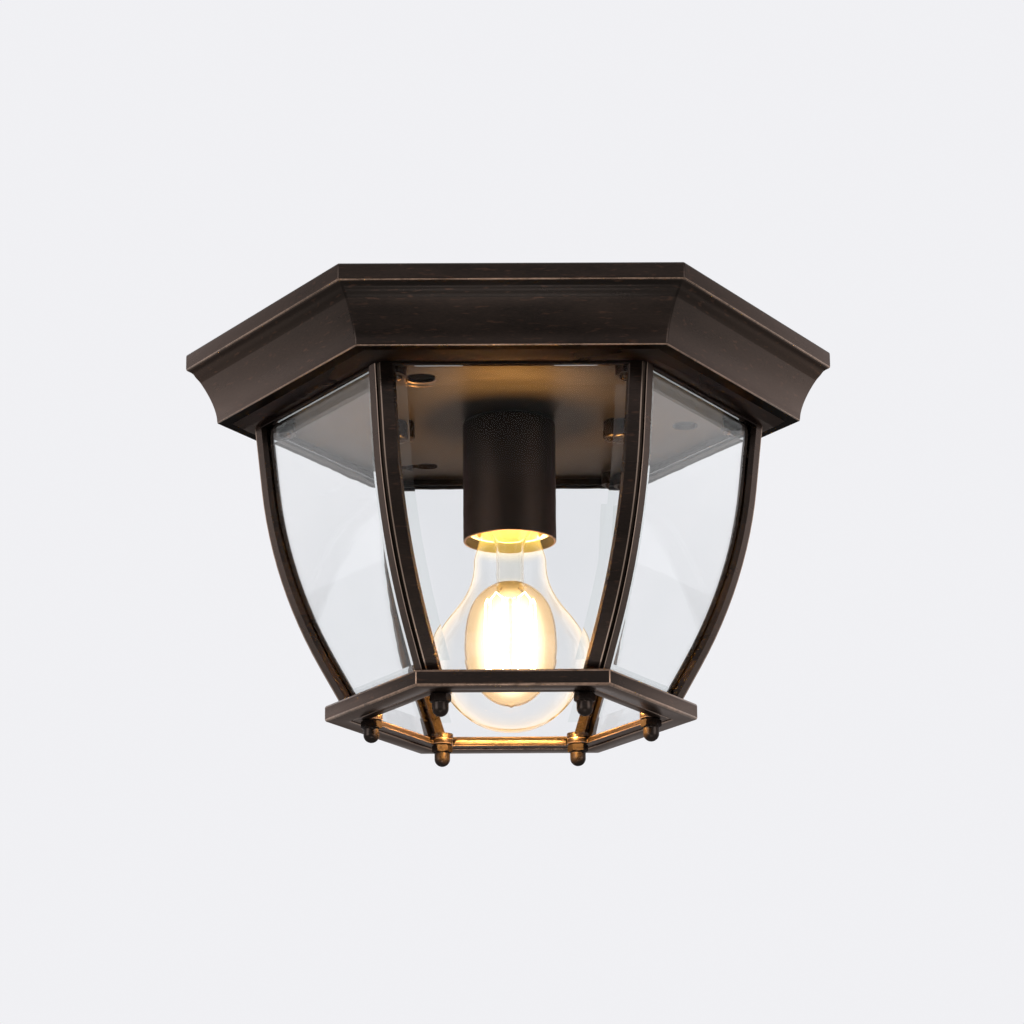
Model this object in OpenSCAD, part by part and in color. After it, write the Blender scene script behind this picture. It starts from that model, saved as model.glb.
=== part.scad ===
// Six-sided porch ceiling lantern with one lamp. All sizes are in millimetres.
// The origin is the middle of the ceiling plane, +Z points up into the ceiling,
// the lantern hangs below it, and one of its flat sides faces -Y.
// Corner radii are measured to the hexagon's corners, and half widths to its flats.

/* [Canopy] */
// Corner radius of the canopy
canopy_r = 130; // [120:1:150]
// Height of the canopy from the ceiling to its underside
canopy_h = 29; // [25:0.5:34]
// Thickness of the canopy's metal
canopy_wall = 2; // [1.5:0.1:3]
// Height of the upright band at the ceiling
fascia_h = 6.8; // [4:0.1:9]
// How far the moulding below the band steps in at a corner
ogee_in = 6; // [4:0.1:11]
// Height of the moulding below the band
ogee_h = 5.2; // [4:0.1:9]
// How far the cove below the moulding leans in at a corner
cove_in = 6.8; // [2:0.1:8]
// Rounding of the canopy's long edges
edge_r = 0.9; // [0.5:0.1:1.4]
// Width of the canopy's flat rim against the ceiling
rim_w = 3; // [2:0.1:4]
// Thickness of the foam gasket, which lies flush with the rim
gasket_t = 3; // [2:0.1:4]
// Width of the foam gasket at a corner
gasket_w = 7; // [5:0.5:9]

/* [Holes in the canopy] */
// Distance of the wide hole from the centre
wide_hole_out = 65.2; // [55:0.1:70]
// Width of the wide hole, which is longer from front to back
wide_hole_w = 11; // [8:0.5:14]
// How much longer than wide it is
wide_hole_more = 4; // [0.5:0.5:6]
// Distance of the small hole from the centre
small_hole_out = 69.8; // [55:0.1:74]
// Width of the small hole, which is longer from front to back
small_hole_w = 9.8; // [7:0.1:12]
// How much longer than wide it is
small_hole_more = 2; // [0.5:0.5:5]
// Distance of the keyhole from the centre
keyhole_out = 71.6; // [60:0.1:76]
// Radius of the keyhole's big end
keyhole_r = 4.6; // [4:0.1:6]
// Width of the keyhole's slot
keyhole_slot_w = 5; // [3:0.1:6]
// Length of the keyhole's slot from the middle of its big end
keyhole_slot_l = 12; // [8:0.5:16]

/* [Ceiling hardware] */
// Distance between the two mounting studs
stud_gap = 88.9; // [76:0.1:96]
// Diameter of the mounting studs
stud_d = 4.1; // [3.5:0.1:5]
// Length of the crossbar
crossbar_l = 104; // [100:1:120]
// Width of the crossbar
crossbar_w = 20; // [16:1:26]
// Thickness of the crossbar
crossbar_t = 2; // [1.5:0.1:3]
// Distance between the middles of the crossbar's two slots for the box screws
box_gap = 69.85; // [60:0.05:72]
// Width of those slots
box_slot_w = 4.8; // [4:0.1:5.5]
// Length of those slots
box_slot_l = 8.5; // [6:0.1:9]
// Width across the flats of the studs' lock nuts
lock_nut_af = 7.9; // [7:0.1:9]
// Thickness of the studs' lock nuts
lock_nut_t = 3; // [2:0.1:4]
// Diameter of the thumb nuts
thumb_nut_d = 13.4; // [11:0.1:16]
// Height of the thumb nuts
thumb_nut_h = 7.2; // [6:0.1:10]
// Distance of the ground screw from the middle of the crossbar
ground_out = 18; // [14:1:22]
// Diameter of the ground screw's head
ground_head_d = 7; // [6:0.1:8]

/* [Cage] */
// Half width of the cage over its ribs, just below the top frame
cage_a = 88.5; // [82:0.5:94]
// Lean of the ribs and panes at the top, in degrees
lean_top = 5.6; // [3:0.1:8]
// Lean of the ribs and panes at the bottom, in degrees
lean_bottom = 26; // [20:0.5:30]
// Depth below the ceiling at which the bend starts
bend_z = 57.3; // [45:0.1:60]
// Radius of the bend, on the outside of the ribs
bend_r = 213; // [190:1:220]
// Thickness of the cage's top frame
frame_t = 2.4; // [2:0.1:4]
// How far the top frame's lower edge stands out past the ribs
frame_out = 3.7; // [2:0.1:6]
// How far the top frame's upper edge stands out past its lower edge
frame_slope = 3.8; // [2:0.1:4]
// Height of the bead that covers the panes' top edges
bead_h = 0.9; // [0.6:0.1:1.5]
// Width of the bead
bead_w = 1.2; // [0.8:0.1:1.6]

/* [Ribs] */
// Width of a rib
rib_w = 10.4; // [9:0.1:13]
// Thickness of a rib's two faces
rib_face_t = 1.8; // [1.2:0.1:2.5]
// Thickness of the web between two panes
rib_web_t = 1.8; // [1.2:0.1:2.5]
// Width of the strip behind the panes
rib_back_w = 4.6; // [4:0.1:9]
// Thickness of the strip behind the panes
rib_back_t = 1.5; // [1:0.1:2.5]
// Width of the groove along a rib's ridge
groove_w = 1.7; // [1:0.1:2.4]
// Depth of that groove
groove_d = 1; // [0.6:0.1:1.4]
// Half width of the lugs at a rib's ends
lug_r = 4.4; // [4:0.1:5]
// Thickness of the upper lug
top_lug_t = 2.4; // [2:0.1:4]
// Thickness of the foot lug
foot_lug_t = 2; // [1.5:0.1:3]
// Distance of the cage screws from the centre
screw_out = 88; // [84:0.5:90]
// Diameter of the cage screws
screw_d = 3; // [2.5:0.1:3.5]
// Diameter of the cage screws' heads
screw_head_d = 5.6; // [5:0.1:7]
// Height of the cage screws' heads
screw_head_h = 1.9; // [1.5:0.1:2.5]

/* [Panes] */
// Thickness of the glass
glass_t = 3; // [2:0.1:4]
// Clearance between the glass and the metal
glass_gap = 0.3; // [0.2:0.05:0.6]

/* [Bottom ring] */
// Corner radius of the bottom ring
ring_r = 73.3; // [71:0.1:80]
// Depth of the bottom ring's underside below the ceiling
ring_z = 151.3; // [145:0.1:155]
// Height of the bottom ring's outer band
ring_h = 6.5; // [5:0.1:9]
// Thickness of that band
ring_band_t = 2; // [1.5:0.1:3]
// Thickness of the flange that the panes stand on
ring_flange_t = 2.8; // [2.4:0.1:4]
// Half width of the bottom opening
opening_a = 49.5; // [47:0.1:50]
// Width of the inner strip of the flange, from the groove to the opening
inner_strip_w = 5.4; // [4:0.1:6]
// How much higher the inner strip lies than the outer one
inner_strip_up = 0.4; // [0.2:0.1:0.8]
// Distance of the acorn nuts from the centre
nut_out = 54.9; // [54:0.1:56]
// Diameter of the studs in the ribs' feet
foot_stud_d = 3.6; // [3:0.1:4]
// Width across the flats of the acorn nuts
nut_af = 7.2; // [6.5:0.1:8]
// Height of an acorn nut's hexagon
nut_hex_h = 3.3; // [2.5:0.1:4]
// Height of an acorn nut
nut_h = 8.8; // [8:0.1:10]
// Diameter of an acorn nut's dome
nut_dome_d = 6.3; // [5.6:0.1:6.5]

/* [Socket] */
// Outer diameter of the socket cover
cover_d = 37; // [36:0.5:44]
// Length of the socket cover below the canopy
cover_l = 49.5; // [46:0.5:54]
// Thickness of the socket cover
cover_wall = 0.9; // [0.6:0.1:1.2]
// Rounding of the cover's top edge
cover_round = 2.2; // [1.5:0.1:3]
// Outer diameter of the lampholder
holder_d = 34.4; // [33:0.1:34.4]
// How far the lampholder ends above the cover's mouth
holder_up = 3.6; // [2:0.1:6]
// Diameter of the threaded tube between the lampholder and the canopy
nipple_d = 10; // [9:0.1:11]
// Diameter of that tube's bore
nipple_bore_d = 7; // [6.4:0.1:7.5]
// Length of that tube
nipple_l = 19; // [18:0.5:20]
// Length of the threaded shell in the lampholder
shell_l = 24; // [22:0.5:25]
// Width across the flats of its lock nut
nipple_nut_af = 14; // [13:0.5:17]
// Thickness of its lock nut
nipple_nut_t = 3; // [2:0.1:4]

/* [Wiring] */
// Diameter of an insulated lead
lead_d = 2.6; // [2:0.1:2.8]
// How far the leads run sideways above the canopy's floor
lead_run = 26; // [22:1:30]
// Height of the leads above the canopy's floor
lead_up = 12.5; // [11:0.5:13]
// Radius of the leads' bends
lead_bend = 5; // [4:0.5:5.5]
// Length of a wire connector
connector_l = 20; // [16:1:24]
// Diameter of a wire connector at its mouth
connector_d = 12; // [10:0.5:14]

/* [Lamp] */
// Depth of the lamp's lowest point below the ceiling
lamp_z = 155.5; // [153:0.1:157]
// Diameter of the lamp's clear envelope
bulb_d = 60; // [56:0.5:62]
// Height from the lamp's lowest point to its widest
bulb_low_h = 32; // [30:0.5:34]
// Height of the lamp's shoulder, from its widest point to its neck
shoulder_h = 36; // [32:0.5:37]
// Diameter of the lamp's neck
neck_d = 29; // [28:0.1:30]
// Thickness of the clear envelope
bulb_wall = 0.9; // [0.6:0.1:1.2]
// Diameter of the amber envelope inside
amber_d = 36.6; // [32:0.2:38]
// Gap between the two envelopes at the lowest point
amber_gap = 9.5; // [8:0.5:14]
// Height from the amber envelope's lowest point to its widest
amber_low_h = 25; // [22:0.5:27]
// Height of the amber envelope
amber_h = 50; // [46:0.5:52]
// Thickness of the amber envelope
amber_wall = 0.8; // [0.6:0.1:1]
// Radius of the hollow stem that carries the filament
stem_r = 5.4; // [4:0.1:6]
// Thickness of the stem's glass
stem_wall = 0.8; // [0.6:0.1:1]
// Overall length of the lamp
lamp_l = 106.5; // [106:0.1:108]
// Diameter over the thread of the lamp's cap
cap_d = 26; // [25.6:0.1:26.2]
// Length of the cap's threaded part
cap_thread_l = 18; // [16:0.5:19]
// Pitch of the thread
thread_pitch = 3.63; // [3:0.01:4]
// Depth of the thread
thread_depth = 0.7; // [0.5:0.05:0.9]
// Number of upright filament strands
strands = 10; // [6:2:12]
// Radius of the cage of filament strands
filament_r = 9.6; // [8:0.1:10]
// Height of the filament strands
filament_h = 29; // [24:0.5:30]
// Diameter of a filament strand
filament_d = 0.7; // [0.5:0.05:1]

/* [Hidden] */
$fn = 64;

bronze = [0.20, 0.14, 0.12];
dark_bronze = [0.13, 0.10, 0.09];
clear_glass = [0.80, 0.86, 0.86, 0.35];
amber_glass = [0.98, 0.72, 0.30, 0.45];
zinc = [0.70, 0.70, 0.68];
brass = [0.80, 0.62, 0.28];

flat = cos(30);                       // half width of a hexagon over its corner radius
clear = 0.1;                          // gap between pieces that turn or slide on each other
slip = 0.05;                          // radial gap of a thread or pin in its hole
sides = 6;
through = 1;                          // how far a cutting shape runs past a face

// Canopy
deck_z = -canopy_h;
deck_top = deck_z + canopy_wall;
wall_c = canopy_wall / flat;
cove_r = canopy_r - ogee_in;
base_r = cove_r - cove_in;
inner_r = cove_r - wall_c;
ogee_z = -fascia_h - ogee_h;
ogee_wave = 0.35;                     // how far the moulding waves about a straight slope
cove_bow = 1.6;                       // how strongly the cove bends
curve_steps = 8;

// Cage
frame_z = deck_z - frame_t;
frame_r_low = (cage_a + frame_out) / flat;
frame_r_high = (cage_a + frame_out + frame_slope) / flat;
glass_out = rib_face_t + glass_gap;
glass_in = glass_out + glass_t;
back_out = glass_in + glass_gap;
back_in = back_out + rib_back_t;
bend_start = [cage_a - (bend_z + frame_z) * tan(lean_top), -bend_z];
bend_centre = bend_start - bend_r * [cos(lean_top), -sin(lean_top)];
bend_steps = 12;
pane_inset = rib_web_t / 2 + glass_gap;
reach = canopy_r;                     // longer than any pane is wide

// Bottom ring
ring_low = -ring_z;
flange_top = ring_low + ring_flange_t;
seat_z = ring_low + inner_strip_up;
strip_groove = 0.8;                   // width and depth of the groove between the two strips
nut_z = seat_z - clear;
dome_z = nut_z - nut_h + nut_dome_d / 2;

// Ceiling hardware
crossbar_z = -crossbar_t;
thumb_z = deck_z - clear;
stud_low = thumb_z - thumb_nut_h + 1.3;
ground_foot_y = 34;
ground_wire_y = 26;
ground_head_h = 1.8;
ground_ring_t = 1;
ground_shank = 1.3;                   // how far the lower ground screw enters the canopy's floor

// Socket
cover_z = deck_z - cover_l;
cover_top_t = 1.5;
holder_top = deck_z - cover_top_t;
holder_z = cover_z + holder_up;
nipple_low = holder_top - 8;
nipple_top = nipple_low + nipple_l;
lead_z = deck_top + lead_up;
lead_out = 1.7;                       // half the distance between the two leads in the tube
neutral_z = nipple_low - 4;

// Lamp
tip_z = lamp_l - lamp_z;
cap_top = tip_z - 3.2;
cap_low = cap_top - cap_thread_l - 5;
cap_r = cap_d / 2;
cap_wall = 0.5;
shell_in = cap_r + 0.5;
shell_wall = 0.6;
holder_bore = shell_in + thread_depth + shell_wall + slip;
shell_top = tip_z + 1;
shell_low = shell_top - shell_l;
shell_plain = 3;                      // length of the shell that has no thread
holder_floor = shell_top + 1.5;
wide_z = -lamp_z + bulb_low_h;
neck_z = wide_z + shoulder_h;
neck_in_cap = cap_r - thread_depth - cap_wall - 0.3;
amber_low = -lamp_z + amber_gap;
amber_wide_z = amber_low + amber_low_h;
amber_top = amber_low + amber_h;
stem_low = amber_top - 3;
stem_end = 3;                         // how far the stem's round end hangs down
stem_flare_z = cap_low + 3;
filament_top = stem_low - 2.2;
support_d = 0.7;
support_z = stem_low + 1;

// ---- Outlines ----

function reversed(points) = [for (i = [len(points) - 1:-1:0]) points[i]];

// Points on a circle's arc
function arc(centre, radius, from, to, steps) =
    [for (i = [0:steps]) centre + radius * [cos(from + (to - from) * i / steps),
                                            sin(from + (to - from) * i / steps)]];

// Points on a curve that leaves p0 towards p1 and reaches p3 from p2
function sweep_curve(p0, p1, p2, p3, steps) =
    [for (i = [0:steps]) let (t = i / steps, u = 1 - t)
        u * u * u * p0 + 3 * u * u * t * p1 + 3 * u * t * t * p2 + t * t * t * p3];

// The canopy's moulding at a corner, as [radius, height], from the ceiling down
function canopy_outline() = concat(
    arc([canopy_r - edge_r, -edge_r], edge_r, 90, 0, 3),
    arc([canopy_r - edge_r, -fascia_h + edge_r], edge_r, 0, -90, 3),
    [for (i = [1:curve_steps]) let (s = i / curve_steps)
        [canopy_r - edge_r - (ogee_in - edge_r) * s - ogee_wave * sin(360 * s),
         -fascia_h - ogee_h * (0.78 * s + 0.22 * pow(s, 6))]],
    cove_line(0, 1, curve_steps),
    arc([base_r - edge_r, deck_z + edge_r], edge_r, -30, -90, 2));

// The cove below the moulding, moved sideways by `shift`, from step `first` down to step `last`
function cove_line(shift, first, last) =
    [for (i = [first:last]) let (s = i / curve_steps)
        [base_r + shift + cove_in * pow(1 - s, cove_bow), ogee_z - (canopy_h + ogee_z - edge_r) * s]];

// The outside of the ribs, moved in by `inset`, as [half width, height] from high to low
function side_line(inset, high, low) =
    let (upper = bend_centre + (bend_r - inset) * [cos(lean_top), -sin(lean_top)],
         lower = bend_centre + (bend_r - inset) * [cos(lean_bottom), -sin(lean_bottom)])
    concat([[upper[0] + (high - upper[1]) * tan(lean_top), high]],
        high - upper[1] < 0 || low - lower[1] > 0 ? [] :
            arc(bend_centre, bend_r - inset, -lean_top, -lean_bottom, bend_steps),
        [high - upper[1] < 0 ? side_point(inset, low) :
         [lower[0] - (lower[1] - low) * tan(lean_bottom), low]]);

// One point of that line near the foot, below the bend
function side_point(inset, height) =
    let (lower = bend_centre + (bend_r - inset) * [cos(lean_bottom), -sin(lean_bottom)])
    [lower[0] - (lower[1] - height) * tan(lean_bottom), height];

// The lamp's clear envelope, moved in by `inset`, as [radius, height] from the lowest point up
function bulb_outline(inset) = concat(
    [for (i = [0:12]) [(bulb_d / 2 - inset) * sin(90 * i / 12),
                       wide_z - (bulb_low_h - inset) * cos(90 * i / 12)]],
    [for (i = [1:10]) sweep_curve([bulb_d / 2 - inset, wide_z], [bulb_d / 2 - inset, wide_z + 14],
        [neck_d / 2 - inset, neck_z - 18], [neck_d / 2 - inset, neck_z], 10)[i]],
    [for (i = [1:5]) sweep_curve([neck_d / 2 - inset, neck_z], [neck_d / 2 - inset, neck_z + 4],
        [neck_in_cap - inset, cap_low - 4], [neck_in_cap - inset, cap_low + 1], 5)[i]],
    [[neck_in_cap - inset, cap_low + 7]]);

// The amber envelope, moved in by `inset`, from its lowest point up to its neck
function amber_outline(inset) = concat(
    [for (i = [0:10]) [(amber_d / 2 - inset) * sin(9 * i),
                       amber_wide_z - (amber_wide_z - amber_low - inset) * cos(9 * i)]],
    [for (i = [1:8]) sweep_curve([amber_d / 2 - inset, amber_wide_z],
        [amber_d / 2 - inset, amber_wide_z + 16], [13, amber_top - 3 - inset],
        [stem_r + 0.3 + amber_wall - inset, amber_top - inset / 4], 8)[i]]);

// The lamp's stem, moved in by `inset`, from its lowest point up to its flared rim
function stem_outline(inset) =
    let (flare_r = neck_in_cap - bulb_wall - 0.3 - inset, r = stem_r - inset)
    concat([for (i = [0:6]) [r * sin(15 * i), stem_low - (stem_end - inset) * cos(15 * i)]],
        sweep_curve([r, stem_flare_z - 14], [r, stem_flare_z - 6], [flare_r - 3, stem_flare_z - 3],
            [flare_r, stem_flare_z], 6));

// ---- Shared shapes ----

module corner(number, out) {
    rotate(60 * (number - 1))
        translate([out, 0, 0])
            children();
}

module ring_of_six(out) {
    for (i = [1:sides])
        corner(i, out) children();
}

module hex_plate(r, z, h) {
    translate([0, 0, z]) linear_extrude(h) circle(r = r, $fn = 6);
}

module rod(r, z, h) {
    translate([0, 0, z]) cylinder(r = r, h = h);
}

module hex_rod(af, z, h) {
    translate([0, 0, z]) linear_extrude(h) circle(r = af / 2 / flat, $fn = 6);
}

// A curved sheet between two insets, with its face towards +X
module side_sheet(inset_out, inset_in, high, low) {
    rotate([90, 0, 0])
        linear_extrude(reach, center = true)
            polygon(concat(side_line(inset_out, high, low), reversed(side_line(inset_in, high, low))));
}

// The same between two insets at a corner on the X axis: two sheets that meet in a mitre
module corner_sheet(inset_out, inset_in, high, low, width) {
    for (side = [0, 1])
        mirror([0, side, 0])
            intersection() {
                rotate(30) side_sheet(inset_out, inset_in, high, low);
                translate([0, 0, low - through])
                    cube([reach, width / 2, high - low + 2 * through]);
            }
}

// A flat upright web in the corner's own plane
module corner_web(inset_out, inset_in, high, low, width) {
    rotate([90, 0, 0])
        linear_extrude(width, center = true)
            polygon([for (p = concat(side_line(inset_out, high, low),
                                     reversed(side_line(inset_in, high, low)))) [p[0] / flat, p[1]]]);
}

// ---- Canopy and ceiling hardware ----

module keyhole() {
    rod(keyhole_r, -through, canopy_wall + 2 * through);
    translate([-keyhole_slot_l, -keyhole_slot_w / 2, -through])
        cube([keyhole_slot_l, keyhole_slot_w, canopy_wall + 2 * through]);
    translate([-keyhole_slot_l, 0, 0])
        rod(keyhole_slot_w / 2, -through, canopy_wall + 2 * through);
}

// A hole with straight sides and round ends, longer from front to back
module long_hole(width, more) {
    for (side = [-1, 1])
        translate([0, side * more / 2, 0])
            rod(width / 2, -through, canopy_wall + 2 * through);
    translate([-width / 2, -more / 2, -through])
        cube([width, more, canopy_wall + 2 * through]);
}

module canopy() {
    color(bronze) difference() {
        rotate_extrude($fn = 6)
            polygon(concat(canopy_outline(), [[0, deck_z], [0, deck_top],
                [base_r - wall_c, deck_top]], reversed(cove_line(-wall_c, 0, curve_steps - 1)),
                [[inner_r, -gasket_t], [canopy_r - rim_w, -gasket_t], [canopy_r - rim_w, 0]]));
        rod(nipple_d / 2 + slip, deck_z - through, canopy_wall + 2 * through);
        for (side = [-1, 1])
            translate([side * stud_gap / 2, 0, 0])
                rod(stud_d / 2 + 0.6, deck_z - through, canopy_wall + 2 * through);
        ring_of_six(screw_out)
            rod(screw_d / 2 + slip, deck_z - through, canopy_wall + 2 * through);
        translate([ground_out, ground_foot_y, 0])
            rod(screw_d / 2 + slip, deck_top - ground_shank - clear, canopy_wall);
        rotate(238) translate([wide_hole_out, 0, deck_z]) rotate(-238)
            long_hole(wide_hole_w, wide_hole_more);
        rotate(5) translate([small_hole_out, 0, deck_z]) rotate(-5)
            long_hole(small_hole_w, small_hole_more);
        rotate(118) translate([keyhole_out, 0, deck_z]) rotate(-118) keyhole();
    }
}

module canopy_gasket() {
    color("dimgray") difference() {
        hex_plate(canopy_r - rim_w - clear, -gasket_t, gasket_t);
        hex_plate(canopy_r - rim_w - gasket_w, -gasket_t - through, gasket_t + 2 * through);
    }
}

module crossbar() {
    color(zinc) difference() {
        translate([-crossbar_l / 2, -crossbar_w / 2, crossbar_z])
            cube([crossbar_l, crossbar_w, crossbar_t]);
        for (side = [-1, 1]) {
            translate([side * stud_gap / 2, 0, 0])
                rod(stud_d / 2 + slip, crossbar_z - through, crossbar_t + 2 * through);
            for (end = [-1, 1])
                translate([side * box_gap / 2 + end * (box_slot_l - box_slot_w) / 2, 0, 0])
                    rod(box_slot_w / 2, crossbar_z - through, crossbar_t + 2 * through);
            translate([side * box_gap / 2 - (box_slot_l - box_slot_w) / 2, -box_slot_w / 2,
                       crossbar_z - through])
                cube([box_slot_l - box_slot_w, box_slot_w, crossbar_t + 2 * through]);
        }
        translate([ground_out, 0, 0])
            rod(screw_d / 2 + slip, crossbar_z - through, crossbar_t + 2 * through);
    }
}

module mounting_studs() {
    color(zinc)
        for (side = [-1, 1])
            translate([side * stud_gap / 2, 0, 0])
                rod(stud_d / 2, stud_low, -stud_low - clear);
}

module stud_lock_nuts() {
    color(zinc)
        for (side = [-1, 1])
            translate([side * stud_gap / 2, 0, 0])
                difference() {
                    hex_rod(lock_nut_af, crossbar_z - lock_nut_t, lock_nut_t);
                    rod(stud_d / 2 + slip, crossbar_z - lock_nut_t - through, lock_nut_t + 2 * through);
                }
}

// A closed cap nut that draws the canopy up against the ceiling
module thumb_nut(side) {
    chamfer = 0.6;
    color(dark_bronze)
        translate([side * stud_gap / 2, 0, 0])
            difference() {
                rotate_extrude()
                    polygon([[0, thumb_z], [thumb_nut_d / 2 - chamfer, thumb_z],
                        [thumb_nut_d / 2, thumb_z - chamfer],
                        [thumb_nut_d / 2, thumb_z - thumb_nut_h + chamfer],
                        [thumb_nut_d / 2 - chamfer, thumb_z - thumb_nut_h],
                        [0, thumb_z - thumb_nut_h]]);
                rod(stud_d / 2 + slip, stud_low - 0.3, thumb_z - stud_low + 0.3 + through);
            }
}

// One screw in the crossbar and one in the canopy's floor
module ground_screws() {
    ring_low = crossbar_z - ground_ring_t;
    ring_top = deck_top + ground_ring_t;
    color("green") {
        translate([ground_out, 0, 0]) {
            rod(screw_d / 2, ring_low, crossbar_t + ground_ring_t - clear);
            rod(ground_head_d / 2, ring_low - ground_head_h, ground_head_h);
        }
        translate([ground_out, ground_foot_y, 0]) {
            rod(screw_d / 2, deck_top - ground_shank, ground_shank + ground_ring_t);
            rod(ground_head_d / 2, ring_top, ground_head_h);
        }
    }
}

// A green wire from the crossbar down to the canopy's floor, with a ring at each end
module ground_lead() {
    ring_low = crossbar_z - ground_ring_t;
    wire_z = crossbar_z - lead_d / 2 - 0.3;
    tab_l = ground_head_d;
    color("green") translate([ground_out, 0, 0]) {
        ground_ring(ring_low);
        translate([-lead_d / 2, ground_head_d / 2 - 0.2, ring_low]) cube([lead_d, tab_l, ground_ring_t]);
        translate([0, tab_l, wire_z]) rotate([-90, 0, 0])
            cylinder(d = lead_d, h = ground_wire_y - lead_bend - tab_l);
        translate([0, ground_wire_y - lead_bend, wire_z - lead_bend])
            rotate([90, 0, 90]) rotate_extrude(angle = 90)
                translate([lead_bend, 0]) circle(d = lead_d);
        translate([0, ground_wire_y, deck_top])
            cylinder(d = lead_d, h = wire_z - lead_bend - deck_top);
        translate([-lead_d / 2, ground_wire_y, deck_top])
            cube([lead_d, ground_foot_y - ground_wire_y - ground_head_d / 2 + 0.2, ground_ring_t]);
        translate([0, ground_foot_y, 0]) ground_ring(deck_top);
    }
}

module ground_ring(z) {
    difference() {
        rod(ground_head_d / 2, z, ground_ring_t);
        rod(screw_d / 2 + slip, z - through, ground_ring_t + 2 * through);
    }
}

// A lead that rises in the threaded tube and turns sideways above the canopy's floor
module lead(side, low) {
    translate([0, side * lead_out, 0]) {
        rod(lead_d / 2, low, lead_z - lead_bend - low);
        translate([0, side * lead_bend, lead_z - lead_bend])
            rotate([90, 0, side * 90]) mirror([1, 0, 0]) rotate_extrude(angle = 90)
                translate([lead_bend, 0]) circle(d = lead_d);
        translate([0, side * lead_bend, lead_z]) rotate([-side * 90, 0, 0])
            cylinder(d = lead_d, h = lead_run - lead_bend);
    }
}

module live_lead() {
    color("black") lead(1, holder_floor);
}

module neutral_lead() {
    color("white") lead(-1, neutral_z);
}

// A cap over the bare end of each lead
module wire_connectors() {
    sink = 6;
    color("orange")
        for (side = [-1, 1])
            translate([0, side * (lead_out + lead_run - sink), lead_z]) rotate([-side * 90, 0, 0])
                difference() {
                    rotate_extrude()
                        polygon([[0, 0], [connector_d / 2, 0], [connector_d / 2, 5],
                            [connector_d / 3, connector_l - 2], [connector_d / 3 - 1, connector_l],
                            [0, connector_l]]);
                    translate([0, 0, -through])
                        cylinder(r = lead_d / 2 + slip, h = sink + through);
                }
}

// ---- Cage ----

module cage_top_frame() {
    pad_in = screw_out - lug_r;
    color(bronze) difference() {
        union() {
            rotate_extrude($fn = 6)
                polygon([[frame_r_high, deck_z], [frame_r_low, frame_z],
                    [(cage_a - glass_out + 1 + bead_w) / flat, frame_z],
                    [(cage_a - glass_out + 1 + bead_w) / flat, frame_z - bead_h + 0.2],
                    [(cage_a - glass_out + 0.8 + bead_w) / flat, frame_z - bead_h],
                    [(cage_a - glass_out + glass_gap) / flat, frame_z - bead_h],
                    [(cage_a - glass_out + glass_gap) / flat, frame_z],
                    [(cage_a - glass_in - glass_gap) / flat, frame_z],
                    [(cage_a - glass_in - glass_gap) / flat, deck_z]]);
            ring_of_six(screw_out) {
                rod(lug_r, frame_z, frame_t);
                translate([0, -lug_r, frame_z])
                    cube([(cage_a - glass_in) / flat - screw_out, 2 * lug_r, frame_t]);
            }
        }
        for (turn = [0:60:120])
            rotate(turn)
                translate([-reach, -rib_w / 2 - clear, frame_z - bead_h - through])
                    cube([2 * reach, rib_w + 2 * clear, bead_h + through]);
        ring_of_six(screw_out)
            rod(screw_d / 2 + slip, frame_z - through, frame_t + 2 * through);
    }
}

// A rib at a corner on the X axis: two outer faces, a web and a strip behind the panes
module rib_shape() {
    difference() {
        union() {
            corner_sheet(0, rib_face_t, frame_z, flange_top, rib_w);
            corner_web(rib_face_t / 2, back_in, frame_z, flange_top, rib_web_t);
            corner_sheet(back_out, back_in, frame_z, flange_top, rib_back_w);
            top_lug();
            foot_lug();
        }
        corner_web(-through, groove_d, frame_z + through, flange_top - through, groove_w);
        translate([screw_out, 0, 0])
            rod(screw_d / 2 + slip, frame_z - top_lug_t - through, top_lug_t + 2 * through);
        translate([nut_out, 0, 0])
            rod(foot_stud_d / 2 + slip, flange_top - through, foot_lug_t + 2 * through);
    }
}

// The lug that a cage screw holds against the top frame
module top_lug() {
    lug(screw_out, frame_z - top_lug_t, top_lug_t, cage_a - back_out - top_lug_t * tan(lean_top));
}

// The lug that stands on the bottom ring and holds the stud of an acorn nut
module foot_lug() {
    lug(nut_out, flange_top, foot_lug_t, side_point(back_out, flange_top)[0]);
}

// A tongue with a round end that runs out to the strip behind the panes
module lug(out, z, t, limit) {
    intersection() {
        translate([out, 0, 0]) {
            rod(lug_r, z, t);
            translate([0, -lug_r, z]) cube([2 * lug_r, 2 * lug_r, t]);
        }
        hex_plate(limit / flat, z, t);
    }
}

module rib(number) {
    color(bronze) corner(number, 0) rib_shape();
}

module cage_screws() {
    shank = deck_top + 1.5 - frame_z + top_lug_t;
    head_z = frame_z - top_lug_t - screw_head_h;
    color(dark_bronze)
        ring_of_six(screw_out) {
            rod(screw_d / 2, head_z + screw_head_h, shank);
            translate([0, 0, head_z])
                rotate_extrude()
                    polygon([[0, 0], [screw_head_d / 2 - 0.7, 0], [screw_head_d / 2, 0.7],
                        [screw_head_d / 2, screw_head_h], [0, screw_head_h]]);
        }
}

// A pane between two corners, bent to the ribs' line
module glass_pane(number) {
    edge = pane_inset / flat;
    high = frame_z - glass_gap;
    low = flange_top + glass_gap;
    color(clear_glass)
        rotate(60 * number - 30)
            intersection() {
                side_sheet(glass_out, glass_in, high, low);
                translate([0, 0, low - through])
                    linear_extrude(high - low + 2 * through)
                        polygon([[2 * pane_inset, 0], [reach, reach * tan(30) - edge],
                            [reach, edge - reach * tan(30)]]);
            }
}

// ---- Bottom ring ----

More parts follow.
